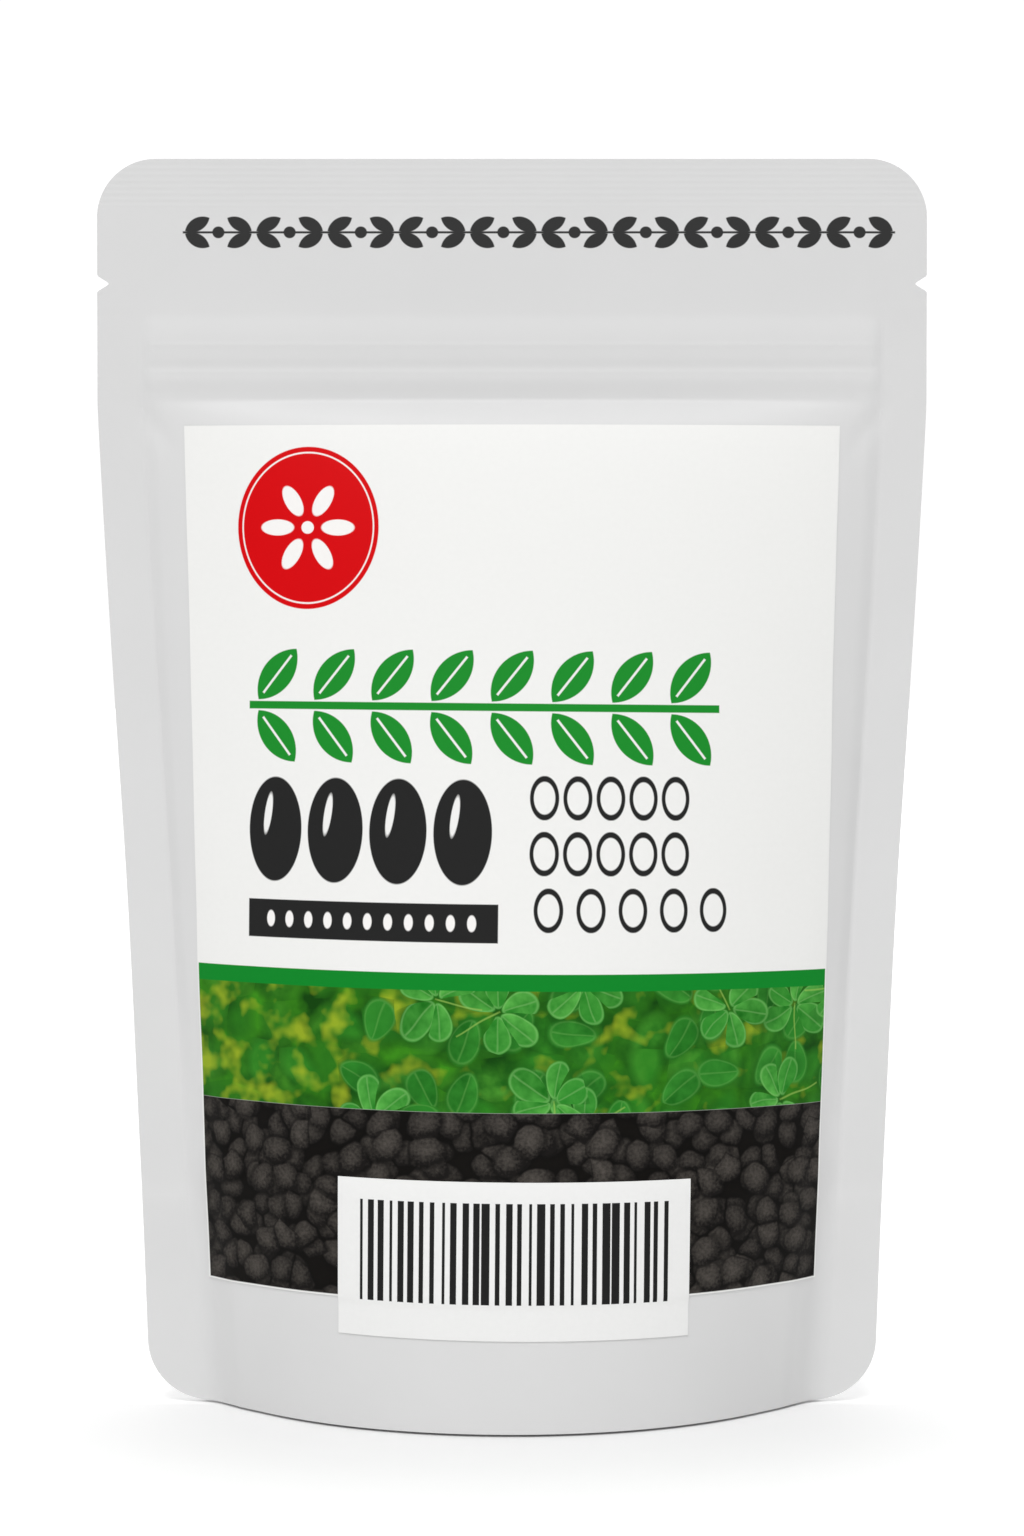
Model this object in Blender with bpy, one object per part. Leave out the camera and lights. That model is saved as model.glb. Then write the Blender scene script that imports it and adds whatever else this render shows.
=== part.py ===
"""A filled, sealed stand-up zip pouch of seeds, in metres, +Z up, front towards -Y.

The origin is in the middle of the foot, on the surface that the pouch stands on. Every sheet starts
as flat film, with a place u across and v up it, and is bent to the filled shape without stretching
across: the more a level bulges, the closer its two side seals come together.
"""

import functools
import math
import random

import bmesh
import bpy
import numpy as np
from mathutils import Euler, Matrix, Vector

# Flat pouch
POUCH_WIDTH = 0.120
POUCH_HEIGHT = 0.180
CORNER_RADIUS = 0.0085
SIDE_SEAL = 0.0065
CHAMBER_HALF = POUCH_WIDTH / 2 - SIDE_SEAL
NOTCH_HEIGHT = 0.1620
NOTCH_DEPTH = 0.0018
NOTCH_OPENING = 0.0022
NOTCH_CUTTER_REACH = 0.004

# Filled shape: how the side slope grows down from the chamber's top, and the soft fold beside the seals
CHAMBER_TOP = 0.145
FULLNESS = 5.64
FULLNESS_GAIN = 18.4
TOP_SOFTNESS = 0.0015
SOFT_FOLD = 0.0068
FOOT_FOLD = 0.0085
SOFT_FOLD_TOP = 0.0887
BEND_STEPS = 60

# Bottom sheet: its folded height on the flat pouch, and the shape of its arch when the foot opens
GUSSET_FOLD = 0.030
GUSSET_SLACK = 0.0004
GUSSET_SLACK_SHARE = 0.15
GUSSET_ARCH_POWER = 1.535
GUSSET_FADE_LOW = 0.032
GUSSET_FADE_HIGH = 0.040

# Sheets and the gaps between them
FILM = 0.0006
PAPER = 0.0005
GAP = 0.0003

# Press-to-close zip
ZIP_LOW = 0.1457
ZIP_HIGH = 0.1537
ZIP_HALF_LENGTH = 0.0520
ZIP_HALF_SPACE = 0.0017
ZIP_MARGIN = 0.0006
ZIP_LEAD_IN = 0.0064
ZIP_LEAD_OUT = 0.0029
ZIP_END_MARGIN = 0.0004
ZIP_END_FADE = 0.0026
ZIP_FLANGE = 0.0005
TONGUE_NECK = 0.00035
TONGUE_HEAD = 0.0009
TONGUE_TIP = 0.0005
RIB_INSIDE = 0.0012
RIB_OUTSIDE = 0.0018
RIB_LIP = 0.00065
LIP_THICKNESS = 0.0004

# Front label and bar sticker, as places on the flat front sheet
LABEL_HALF_WIDTH = 0.0473
LABEL_LOW = 0.0182
LABEL_HIGH = 0.1414
LABEL_SPREAD = 0.0646
LABEL_SPREAD_TOP = 0.125
STICKER_LEFT = -0.0255
STICKER_RIGHT = 0.0260
STICKER_LOW = 0.0129
STICKER_HIGH = 0.0345
STICKER_TILT = math.radians(0.45)

# Seeds
SEED_COUNT = 100
SEED_LENGTH = 0.0100
SEED_RIDGE_RADIUS = 0.0051
SEED_FLAT_RADIUS = 0.0046
SEED_COLUMN_PITCH = 0.0093
SEED_ROW_PITCH = 0.0082
SEED_LAYER_PITCH = 0.0072
SEED_FLOOR = 0.0165
SEED_CLEARANCE = 0.0006
SEED_CLEARANCE_OVER_ARCH = 0.0014
SEED_SHIFT = 0.0002
SEED_DRAW = 5
SEED_RINGS = ((-0.28, 0.80), (0.02, 1.0), (0.30, 0.74))
SEED_ROWS_EACH_WAY = 2
SEED_COLUMNS_EACH_WAY = 6

# Mesh lines: across as shares of the chamber, the side seal and the label, and up as heights
CHAMBER_SHARES = (0.0, 0.22, 0.44, 0.63, 0.76, 0.84, 0.90, 0.95, 1.0)
STEADY_SHARE = 0.90
SEAL_SHARES = (0.33, 0.70, 1.0)
SEAL_AT_CORNER = 0.0015
LABEL_SHARES = (0.0, 0.25, 0.50, 0.70, 0.82, 0.90, 0.95, 1.0)
LABEL_ROW_MARGIN = 0.0008
STICKER_COLUMNS = 8
STICKER_ROWS = 4
CORNER_ROW_ANGLES = (0, 22, 45, 67, 90)
CHAMBER_ROW_LOW = 0.0165
CHAMBER_ROW_HIGH = 0.1300
CHAMBER_ROW_COUNT = 11
CHAMBER_TOP_ROWS = (0.1365, 0.1405)
MOUTH_ROWS = (0.1600, 0.1645)
GUSSET_ROW_ANGLES = (0, 5, 11, 17, 28, 42, 58, 74, 90)


def clear_scene():
    for old in list(bpy.data.objects):
        bpy.data.objects.remove(old, do_unlink=True)


def material(name, color, roughness, metallic=0.0):
    made = bpy.data.materials.new(name)
    made.use_nodes = True
    shader = made.node_tree.nodes["Principled BSDF"]
    shader.inputs["Base Color"].default_value = (*color, 1.0)
    shader.inputs["Roughness"].default_value = roughness
    shader.inputs["Metallic"].default_value = metallic
    made.diffuse_color = (*color, 1.0)
    return made


def add_object(name, points, faces, finish):
    mesh = bpy.data.meshes.new(name)
    mesh.from_pydata([tuple(point) for point in points], [], faces)
    mesh.update()
    mesh.materials.append(finish)
    made = bpy.data.objects.new(name, mesh)
    bpy.context.scene.collection.objects.link(made)
    return made


def outward(made):
    """Turn every face of a closed mesh to point out."""
    shape = bmesh.new()
    shape.from_mesh(made.data)
    bmesh.ops.recalc_face_normals(shape, faces=shape.faces)
    shape.to_mesh(made.data)
    shape.free()


def smooth(made, angle=math.radians(40)):
    made.data.shade_smooth()
    made.data.set_sharp_from_angle(angle=angle)


def ramp(value, start, end):
    """0 before start, 1 after end, with soft ends."""
    share = np.clip((value - start) / (end - start), 0.0, 1.0)
    return share * share * (3 - 2 * share)


def side_slope(v):
    """How steeply a sheet would leave the side seal at height v, in radians: least at the zip."""
    below = max(CHAMBER_TOP - v, 0.0)
    return math.sqrt(FULLNESS * below**2 / (below + TOP_SOFTNESS) + FULLNESS_GAIN * below**2)


def lean(share, v):
    """The film's slope at these shares of the way to its side seal.

    It grows evenly from the middle line. Low down it turns level again in a soft fold beside the seal.
    """
    fold_width = SOFT_FOLD + (FOOT_FOLD - SOFT_FOLD) * (1 - ramp(v, 0.0, GUSSET_FOLD))
    fold = ramp(share, 1 - fold_width / CHAMBER_HALF, 1.0) * (1 - ramp(v, 0.0, SOFT_FOLD_TOP))
    return side_slope(v) * share * (1 - fold)


def bent(u, v):
    """Where flat film goes: its place across, and how far it bulges from the seals' plane."""
    steps = (np.arange(BEND_STEPS) + 0.5) / BEND_STEPS
    inside = min(abs(u), CHAMBER_HALF)
    here = lean(steps * inside / CHAMBER_HALF, v)
    whole = lean(steps, v)
    across = inside * np.cos(here).mean() + max(abs(u) - CHAMBER_HALF, 0.0)
    bulge = CHAMBER_HALF * np.sin(whole).mean() - inside * np.sin(here).mean()
    return math.copysign(across, u), bulge


def lay(u, v):
    """From the middle plane to a sheet's inner face: what lies between the two sheets there."""
    thin = GAP / 2
    folded_film = (FILM + GAP) * (1 - ramp(v, GUSSET_FADE_LOW, GUSSET_FADE_HIGH))
    below_zip = ZIP_LOW - ZIP_MARGIN
    above_zip = ZIP_HIGH + ZIP_MARGIN
    beyond_zip = ZIP_HALF_LENGTH + ZIP_END_MARGIN
    over_zip = ramp(v, below_zip - ZIP_LEAD_IN, below_zip)
    over_zip *= 1 - ramp(v, above_zip, above_zip + ZIP_LEAD_OUT)
    over_zip *= 1 - ramp(abs(u), beyond_zip, beyond_zip + ZIP_END_FADE)
    return thin + folded_film + (ZIP_HALF_SPACE - thin) * over_zip


def film_point(u, v):
    """A point on the front sheet's inner face."""
    across, bulge = bent(u, v)
    return Vector((across, -bulge - lay(u, v), v))


def on_film(u, v, height, step=0.0004):
    """A point this far level outward from the front sheet's inner face, so that level edges stay flat."""
    along = film_point(u + step, v) - film_point(u - step, v)
    return film_point(u, v) + Vector((along.y, -along.x, 0)).normalized() * height


def half_width(v):
    """The flat sheet's half width at height v, with its rounded corners."""
    from_end = min(v, POUCH_HEIGHT - v)
    if from_end >= CORNER_RADIUS:
        return POUCH_WIDTH / 2
    drop = CORNER_RADIUS - from_end
    return POUCH_WIDTH / 2 - CORNER_RADIUS + math.sqrt(max(CORNER_RADIUS**2 - drop**2, 0.0))


def columns(v):
    """The sheet's mesh lines across at height v, over the chamber and then over the side seal.

    At a rounded corner only the lines beyond the steady share draw in.
    """
    chamber = min(CHAMBER_HALF, half_width(v) - SEAL_AT_CORNER)
    seal = half_width(v) - chamber
    places = (0.0, STEADY_SHARE * CHAMBER_HALF, chamber)
    right = [float(np.interp(share, (0.0, STEADY_SHARE, 1.0), places)) for share in CHAMBER_SHARES]
    right += [chamber + share * seal for share in SEAL_SHARES]
    return [-place for place in reversed(right[1:])] + right


def grid_faces(rows, across):
    """Quads of a grid, each split the same way, so that two parallel sheets have parallel faces."""
    faces = []
    for row in range(rows - 1):
        for column in range(across - 1):
            first = row * across + column
            above = first + across
            faces.append((first, first + 1, above + 1))
            faces.append((first, above + 1, above))
    return faces


def two_skins(name, inner, outer, across, finish):
    """A thin closed sheet between two grids of points, row by row, with its edges closed all round."""
    rows = len(inner) // across
    skin = grid_faces(rows, across)
    count = len(inner)
    faces = [(c, b, a) for a, b, c in skin] + [(a + count, b + count, c + count) for a, b, c in skin]
    rim = list(range(across))
    rim += [row * across + across - 1 for row in range(1, rows)]
    rim += [(rows - 1) * across + column for column in range(across - 2, -1, -1)]
    rim += [row * across for row in range(rows - 2, 0, -1)]
    for here, there in zip(rim, rim[1:] + rim[:1]):
        faces.append((here, there, there + count))
        faces.append((here, there + count, here + count))
    made = add_object(name, inner + outer, faces, finish)
    outward(made)
    return made


def sheet_rows():
    """The sheet's mesh lines up, closer at the corners, the notches and the zip."""
    arc = [CORNER_RADIUS * (1 - math.cos(math.radians(angle))) for angle in CORNER_ROW_ANGLES]
    chamber = list(np.linspace(CHAMBER_ROW_LOW, CHAMBER_ROW_HIGH, CHAMBER_ROW_COUNT))
    above_zip = ZIP_HIGH + ZIP_MARGIN
    zip_rows = [ZIP_LOW - ZIP_MARGIN, above_zip, above_zip + ZIP_LEAD_OUT]
    top = [POUCH_HEIGHT - place for place in reversed(arc)]
    return arc + chamber + list(CHAMBER_TOP_ROWS) + zip_rows + list(MOUTH_ROWS) + top


def film_panel(name, finish):
    """One side sheet of film, with a tear notch cut in each edge."""
    places = [(u, v) for v in sheet_rows() for u in columns(v)]
    inner = [on_film(u, v, 0.0) for u, v in places]
    outer = [on_film(u, v, FILM) for u, v in places]
    made = two_skins(name, inner, outer, len(columns(0.0)), finish)
    for side in (-1, 1):
        cut = made.modifiers.new("tear notch", "BOOLEAN")
        cut.object = notch_cutter(side)
    smooth(made)
    return made


def notch_cutter(side):
    """A three-sided bar whose edge points in from the pouch's side."""
    name = f"notch_cutter_{'left' if side < 0 else 'right'}"
    if name in bpy.data.objects:
        return bpy.data.objects[name]
    edge = side * POUCH_WIDTH / 2
    beyond = edge + side * NOTCH_DEPTH
    outline = [
        (edge - side * NOTCH_DEPTH, NOTCH_HEIGHT),
        (beyond, NOTCH_HEIGHT + NOTCH_OPENING),
        (beyond, NOTCH_HEIGHT - NOTCH_OPENING),
    ]
    points = [(x, y, z) for y in (-NOTCH_CUTTER_REACH, NOTCH_CUTTER_REACH) for x, z in outline]
    faces = [(0, 1, 2), (5, 4, 3), (0, 3, 4, 1), (1, 4, 5, 2), (2, 5, 3, 0)]
    cutter = add_object(name, points, faces, bpy.data.materials["film"])
    outward(cutter)
    cutter.hide_render = True
    cutter.display_type = "WIRE"
    return cutter


def gusset_height(bulge):
    """How high the folded sheet stands where the foot is this wide: its length from rim to fold is kept."""
    power = GUSSET_ARCH_POWER
    return (GUSSET_FOLD**power - bulge**power) ** (1 / power)


def gusset_point(column, angle, depth):
    """A point of the bottom sheet at a mesh line across and an angle over its arch, depth under its skin."""
    foot = columns(CORNER_RADIUS)[column]
    top = gusset_height(bent(foot, 0.0)[1]) - depth
    height = max(top * math.sin(angle), 0.0)
    u = columns(height)[column]
    across, bulge = bent(u, height)
    slack = min(GUSSET_SLACK_SHARE * bulge, GUSSET_SLACK)
    reach = bulge - slack + FILM + GAP / 2 - depth
    return (across, -reach * math.cos(angle), height)


def bottom_gusset(finish):
    """The bottom sheet: an arch from rim to rim, drawn out to a tall flat fold in each side seal."""
    quarter = [math.radians(angle) for angle in GUSSET_ROW_ANGLES]
    angles = quarter + [math.pi - angle for angle in reversed(quarter[:-1])]
    across = len(columns(0.0))
    places = [(column, angle) for angle in angles for column in range(across)]
    hollow = [gusset_point(column, angle, FILM) for column, angle in places]
    skin = [gusset_point(column, angle, 0.0) for column, angle in places]
    made = two_skins("bottom_gusset", hollow, skin, across, finish)
    smooth(made)
    return made


def strip(name, profile, finish):
    """A moulded strip: its outline, as places (y, z), drawn along X."""
    shape = bmesh.new()
    face = shape.faces.new([shape.verts.new((-ZIP_HALF_LENGTH, y, z)) for y, z in profile])
    drawn = bmesh.ops.extrude_face_region(shape, geom=[face])
    moved = [item for item in drawn["geom"] if isinstance(item, bmesh.types.BMVert)]
    bmesh.ops.translate(shape, verts=moved, vec=(2 * ZIP_HALF_LENGTH, 0, 0))
    bmesh.ops.recalc_face_normals(shape, faces=shape.faces)
    mesh = bpy.data.meshes.new(name)
    shape.to_mesh(mesh)
    shape.free()
    mesh.materials.append(finish)
    made = bpy.data.objects.new(name, mesh)
    bpy.context.scene.collection.objects.link(made)
    return made


def zip_strips(finish):
    """The zip's two halves, pressed together: an arrow-shaped tongue behind the lips of two ribs."""
    middle = (ZIP_LOW + ZIP_HIGH) / 2
    back = ZIP_HALF_SPACE - GAP
    face = back - ZIP_FLANGE
    lip_start = face - GAP
    head_start = -lip_start + LIP_THICKNESS + GAP
    head_end = face - GAP
    tongue = [
        (-back, ZIP_LOW),
        (-face, ZIP_LOW),
        (-face, middle - TONGUE_NECK),
        (head_start, middle - TONGUE_NECK),
        (head_start, middle - TONGUE_HEAD),
        (head_end, middle - TONGUE_TIP),
        (head_end, middle + TONGUE_TIP),
        (head_start, middle + TONGUE_HEAD),
        (head_start, middle + TONGUE_NECK),
        (-face, middle + TONGUE_NECK),
        (-face, ZIP_HIGH),
        (-back, ZIP_HIGH),
    ]
    groove = [
        (back, ZIP_LOW),
        (back, ZIP_HIGH),
        (face, ZIP_HIGH),
        (face, middle + RIB_OUTSIDE),
        (-lip_start, middle + RIB_OUTSIDE),
        (-lip_start, middle + RIB_LIP),
        (-lip_start + LIP_THICKNESS, middle + RIB_LIP),
        (-lip_start + LIP_THICKNESS, middle + RIB_INSIDE),
        (face, middle + RIB_INSIDE),
        (face, middle - RIB_INSIDE),
        (-lip_start + LIP_THICKNESS, middle - RIB_INSIDE),
        (-lip_start + LIP_THICKNESS, middle - RIB_LIP),
        (-lip_start, middle - RIB_LIP),
        (-lip_start, middle - RIB_OUTSIDE),
        (face, middle - RIB_OUTSIDE),
        (face, ZIP_LOW),
    ]
    strip("zip_tongue_strip", tongue, finish)
    strip("zip_groove_strip", groove, finish)


def stuck_sheet(name, places, across, height, finish):
    """A paper sheet on the front film, with its glued face at this height."""
    glued = [on_film(u, v, height) for u, v in places]
    printed = [on_film(u, v, height + PAPER) for u, v in places]
    made = two_skins(name, glued, printed, across, finish)
    smooth(made)
    return made


def front_label(finish):
    """The large label. Low down it bridges the soft fold, so its edges lie farther out there."""
    columns_across = [-share for share in reversed(LABEL_SHARES[1:])] + list(LABEL_SHARES)
    rows = [v for v in sheet_rows() if LABEL_LOW + LABEL_ROW_MARGIN < v < LABEL_HIGH - LABEL_ROW_MARGIN]
    rows = [LABEL_LOW, *rows, LABEL_HIGH]
    places = []
    for v in rows:
        spread = 1 + LABEL_SPREAD * (1 - ramp(v, 0.0, LABEL_SPREAD_TOP))
        places += [(share * LABEL_HALF_WIDTH * spread, v) for share in columns_across]
    return stuck_sheet("front_label", places, len(columns_across), FILM + GAP, finish)


def bar_sticker(finish):
    """The small sticker over the label's lower edge, stuck on slightly askew."""
    middle_u = (STICKER_LEFT + STICKER_RIGHT) / 2
    middle_v = (STICKER_LOW + STICKER_HIGH) / 2
    turn = (math.cos(STICKER_TILT), math.sin(STICKER_TILT))
    places = []
    for v in np.linspace(STICKER_LOW, STICKER_HIGH, STICKER_ROWS):
        for u in np.linspace(STICKER_LEFT, STICKER_RIGHT, STICKER_COLUMNS):
            across = u - middle_u
            up = v - middle_v
            turned_u = middle_u + across * turn[0] + up * turn[1]
            turned_v = middle_v + up * turn[0] - across * turn[1]
            places.append((turned_u, turned_v))
    over_label = FILM + GAP + PAPER + GAP
    return stuck_sheet("bar_sticker", places, STICKER_COLUMNS, over_label, finish)


def seed_points():
    """One seed about the origin: an ovoid with three blunt ridges, as rings of six and two tips."""
    points = [Vector((0, 0, -SEED_LENGTH / 2))]
    for height, share in SEED_RINGS:
        for turn in range(6):
            radius = share * (SEED_RIDGE_RADIUS if turn % 2 == 0 else SEED_FLAT_RADIUS)
            angle = math.radians(60 * turn)
            place = (radius * math.cos(angle), radius * math.sin(angle), height * SEED_LENGTH)
            points.append(Vector(place))
    points.append(Vector((0, 0, SEED_LENGTH / 2)))
    return points


def seed_faces():
    faces = []
    for turn in range(6):
        after = (turn + 1) % 6
        faces.append((0, 1 + after, 1 + turn))
        for ring in (1, 7):
            faces.append((ring + turn, ring + after, ring + 6 + after))
            faces.append((ring + turn, ring + 6 + after, ring + 6 + turn))
        faces.append((13 + turn, 13 + after, 19))
    return faces


@functools.cache
def chamber_level(millimetres):
    """The chamber's outline at a height: places across, and the half depth at each."""
    v = millimetres / 1000
    flat = np.linspace(0, CHAMBER_HALF, 40)
    bent_film = [bent(u, v) for u in flat]
    return [place[0] for place in bent_film], [place[1] + lay(u, v) for place, u in zip(bent_film, flat)]


def half_depth(x, z):
    across, depth = chamber_level(max(round(z * 1000), 0))
    return float(np.interp(abs(x), across, depth, right=GAP / 2))


def fits_in_chamber(points):
    """Whether all these points are inside the sheets and above the bottom sheet's arch."""
    for point in points:
        if abs(point.y) > half_depth(point.x, point.z) - SEED_CLEARANCE:
            return False
        foot = half_depth(point.x, 0.0)
        arch = gusset_height(foot)
        inside = 1 - min(abs(point.y) / foot, 1.0) ** 2
        if point.z < arch * math.sqrt(inside) + SEED_CLEARANCE_OVER_ARCH:
            return False
    return True


def seed_places():
    """Rows of seeds, each layer half a pitch along from the one below, from the bottom up."""
    draw = random.Random(SEED_DRAW)
    shape = seed_points()
    placed = []
    layer = 0
    while len(placed) < SEED_COUNT:
        height = SEED_FLOOR + layer * SEED_LAYER_PITCH
        for row in range(-SEED_ROWS_EACH_WAY, SEED_ROWS_EACH_WAY + 1):
            for column in range(-SEED_COLUMNS_EACH_WAY, SEED_COLUMNS_EACH_WAY + 1):
                shift = 0.5 if layer % 2 else 0.0
                at = Vector(((column + shift) * SEED_COLUMN_PITCH, row * SEED_ROW_PITCH, height))
                at += Vector([draw.uniform(-SEED_SHIFT, SEED_SHIFT) for _ in range(3)])
                turn = Euler([draw.uniform(0, math.tau) for _ in range(3)]).to_matrix().to_4x4()
                place = Matrix.Translation(at) @ turn
                points = [place @ point for point in shape]
                if len(placed) < SEED_COUNT and fits_in_chamber(points):
                    placed.append(points)
        layer += 1
    return placed


def keep_largest_body(made):
    """Drop any loose scrap, so that one connected body is left."""
    shape = bmesh.new()
    shape.from_mesh(made.data)
    left = set(shape.verts)
    bodies = []
    while left:
        body = {left.pop()}
        edge = list(body)
        while edge:
            near = {link.other_vert(vert) for vert in edge for link in vert.link_edges} - body
            body |= near
            edge = list(near)
        left -= body
        bodies.append(body)
    bodies.sort(key=len)
    scrap = [vert for body in bodies[:-1] for vert in body]
    bmesh.ops.delete(shape, geom=scrap, context="VERTS")
    shape.to_mesh(made.data)
    shape.free()
    print("bodies in the heap", len(bodies), "vertices dropped", len(scrap))


def seeds(finish):
    """The heap of seeds, joined where they touch."""
    heap = bpy.data.collections.new("loose seeds")
    bpy.context.scene.collection.children.link(heap)
    faces = seed_faces()
    for number, points in enumerate(seed_places()):
        seed = add_object(f"seed_{number}", points, faces, finish)
        bpy.context.scene.collection.objects.unlink(seed)
        heap.objects.link(seed)
    first, *others = list(heap.objects)
    heap.objects.unlink(first)
    bpy.context.scene.collection.objects.link(first)
    join = first.modifiers.new("join touching seeds", "BOOLEAN")
    join.operation = "UNION"
    join.operand_type = "COLLECTION"
    join.collection = heap
    join.solver = "EXACT"
    bpy.context.view_layer.update()
    joined = first.evaluated_get(bpy.context.evaluated_depsgraph_get())
    mesh = bpy.data.meshes.new_from_object(joined)
    first.modifiers.clear()
    first.data = mesh
    first.name = "seeds"
    for seed in others:
        bpy.data.objects.remove(seed, do_unlink=True)
    bpy.data.collections.remove(heap)
    keep_largest_body(first)
    return first


def build():
    clear_scene()
    film = material("film", (0.70, 0.70, 0.70), 0.42)
    paper = material("label_paper", (0.88, 0.88, 0.87), 0.5)
    sticker_paper = material("sticker_paper", (0.92, 0.92, 0.92), 0.45)
    zip_plastic = material("zip_plastic", (0.80, 0.82, 0.83), 0.35)
    seed_coat = material("seed_coat", (0.035, 0.028, 0.024), 0.6)
    film_panel("front_panel", film)
    back = film_panel("back_panel", film)
    back.rotation_euler = (0, 0, math.pi)
    bottom_gusset(film)
    zip_strips(zip_plastic)
    front_label(paper)
    bar_sticker(sticker_paper)
    seeds(seed_coat)


build()
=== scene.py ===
# %% [markdown]
# A filled stand-up zip pouch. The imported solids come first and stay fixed: they give every piece its place.
# Around them this lesson dresses the pouch: matt laminated film, a printed paper label, a bar sticker, the
# zip strips and the seeds inside. All lengths are in metres, and the front faces -Y.

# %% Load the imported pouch
import math
import random

import bpy
import numpy as np
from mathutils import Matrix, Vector


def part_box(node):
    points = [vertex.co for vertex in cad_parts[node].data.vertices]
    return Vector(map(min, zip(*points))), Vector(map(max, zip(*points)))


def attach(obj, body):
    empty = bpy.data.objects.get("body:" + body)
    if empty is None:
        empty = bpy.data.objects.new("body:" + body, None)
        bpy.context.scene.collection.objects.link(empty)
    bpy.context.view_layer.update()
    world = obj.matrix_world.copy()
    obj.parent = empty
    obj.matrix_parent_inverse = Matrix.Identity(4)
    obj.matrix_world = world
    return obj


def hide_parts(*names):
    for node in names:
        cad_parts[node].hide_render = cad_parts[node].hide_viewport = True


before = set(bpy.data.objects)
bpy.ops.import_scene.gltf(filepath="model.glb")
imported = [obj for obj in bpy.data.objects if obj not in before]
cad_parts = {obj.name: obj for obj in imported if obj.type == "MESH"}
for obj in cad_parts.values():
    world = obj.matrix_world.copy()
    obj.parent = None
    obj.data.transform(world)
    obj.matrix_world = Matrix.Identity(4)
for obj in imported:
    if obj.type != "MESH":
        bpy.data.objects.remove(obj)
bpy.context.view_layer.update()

# %% [markdown]
# The pouch starts as flat film, and a place on it is u across and v up. Filling bends the sheets outward,
# but film hardly stretches, so a level that bulges more pulls its side seals closer together. A formula
# gives that bend. Cloth simulation could find it too, but would drift from the solids, and film keeps such
# smooth curves.

# %% The flat pouch and its filled bend
MM = 0.001
PANEL_LOW, PANEL_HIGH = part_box("front_panel")
POUCH_WIDTH = PANEL_HIGH.x - PANEL_LOW.x
POUCH_HEIGHT = PANEL_HIGH.z
CORNER_RADIUS = 8.5 * MM
SIDE_SEAL = 6.5 * MM
CHAMBER_HALF = POUCH_WIDTH / 2 - SIDE_SEAL
GUSSET_FOLD = 30 * MM
CHAMBER_TOP = 145 * MM
FULLNESS = 5.64
FULLNESS_GAIN = 18.4
TOP_SOFTNESS = 1.5 * MM
SOFT_FOLD = 6.8 * MM
FOOT_FOLD = 8.5 * MM
SOFT_FOLD_TOP = 88.7 * MM
BEND_STEPS = (np.arange(60) + 0.5) / 60


def ramp(value, start, end):
    """0 before start, 1 after end, with soft ends."""
    share = np.clip((value - start) / (end - start), 0.0, 1.0)
    return share * share * (3 - 2 * share)


def side_slope(v):
    """How steeply the film would leave its side seal at height v, in radians."""
    below = np.maximum(CHAMBER_TOP - v, 0.0)
    return np.sqrt(FULLNESS * below**2 / (below + TOP_SOFTNESS) + FULLNESS_GAIN * below**2)


def lean(share, v):
    """The film's lean this far toward its seal. Low down it turns level again in a soft fold."""
    fold_width = SOFT_FOLD + (FOOT_FOLD - SOFT_FOLD) * (1 - ramp(v, 0.0, GUSSET_FOLD))
    fold = ramp(share, 1 - fold_width / CHAMBER_HALF, 1.0) * (1 - ramp(v, 0.0, SOFT_FOLD_TOP))
    return side_slope(v) * share * (1 - fold)


def bent(u, v):
    """Where flat film goes: its place across, and its bulge from the plane of the seals."""
    u, v = np.broadcast_arrays(u, v)
    inside = np.minimum(abs(u), CHAMBER_HALF)
    here = lean(BEND_STEPS * (inside / CHAMBER_HALF)[..., None], v[..., None])
    whole = lean(BEND_STEPS, v[..., None])
    across = inside * np.cos(here).mean(-1) + np.maximum(abs(u) - CHAMBER_HALF, 0.0)
    bulge = CHAMBER_HALF * np.sin(whole).mean(-1) - inside * np.sin(here).mean(-1)
    return np.sign(u) * across, bulge


print("bulge at the foot in mm", round(float(bent(0.0, 0.0)[1]) / MM, 2))

# %% [markdown]
# Up close the film isn't a plain bend. The top seal is crimped in fine level ribs, the zip shows through as
# two low welts with a groove between, the chamber's top corners dimple where it starts to swell, and soft
# creases run out of the seals. Low down the film swells beside its soft fold. Each is a small height on the
# flat sheet, as real geometry. An offset beside a named place says how softly the form starts or ends
# there.

# %% Low relief of the film, as heights outward
FILM = 0.25 * MM
SEAL_STACK = 0.02 * MM
FOLDED_STACK = 0.25 * MM
CHAMBER_RISE = 0.65 * MM
FOLDED_FILM_RISE = 0.90 * MM
MOUTH_RISE = 0.34 * MM
FOLD_SWELL = 0.80 * MM
FOLD_MIDDLE = 46.5 * MM
FOLD_REACH = 4.5 * MM
SWELL_FADES_FROM = 25 * MM
SEAL_FOLD = 2.2 * MM
SEAL_FOLD_GAIN = 4.0 * MM
SEAL_FOLD_TOP = 70 * MM
ZIP_RISE = 0.82 * MM
ZIP_LOW = 146.0 * MM
ZIP_HIGH = 153.4 * MM
ZIP_HALF_LENGTH = 53.4 * MM
ZIP_GROOVE = 149.9 * MM
ZIP_LINES = ((0.0, -0.12 * MM, 0.9 * MM), (3.2 * MM, 0.04 * MM, 0.35 * MM), (-0.6 * MM, 0.03 * MM, 0.3 * MM))
CRIMP_PITCH = 0.9 * MM
CRIMP_LOW = 172.6 * MM
CRIMP_HIGH = 179.6 * MM
CRIMP_DEPTH = 0.010 * MM
DIMPLE = (51.6 * MM, 141.2 * MM)
DIMPLE_AXIS = (0.845, -0.535)
DIMPLE_REACH = (1.6 * MM, 4.5 * MM)
DIMPLE_DEPTH = 0.30 * MM
CREASE_DEPTH = 0.10 * MM
CREASE_LENGTH = 17 * MM
CREASE_REACH = 4.0 * MM
CREASES_FULL_TO = 128 * MM
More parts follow.
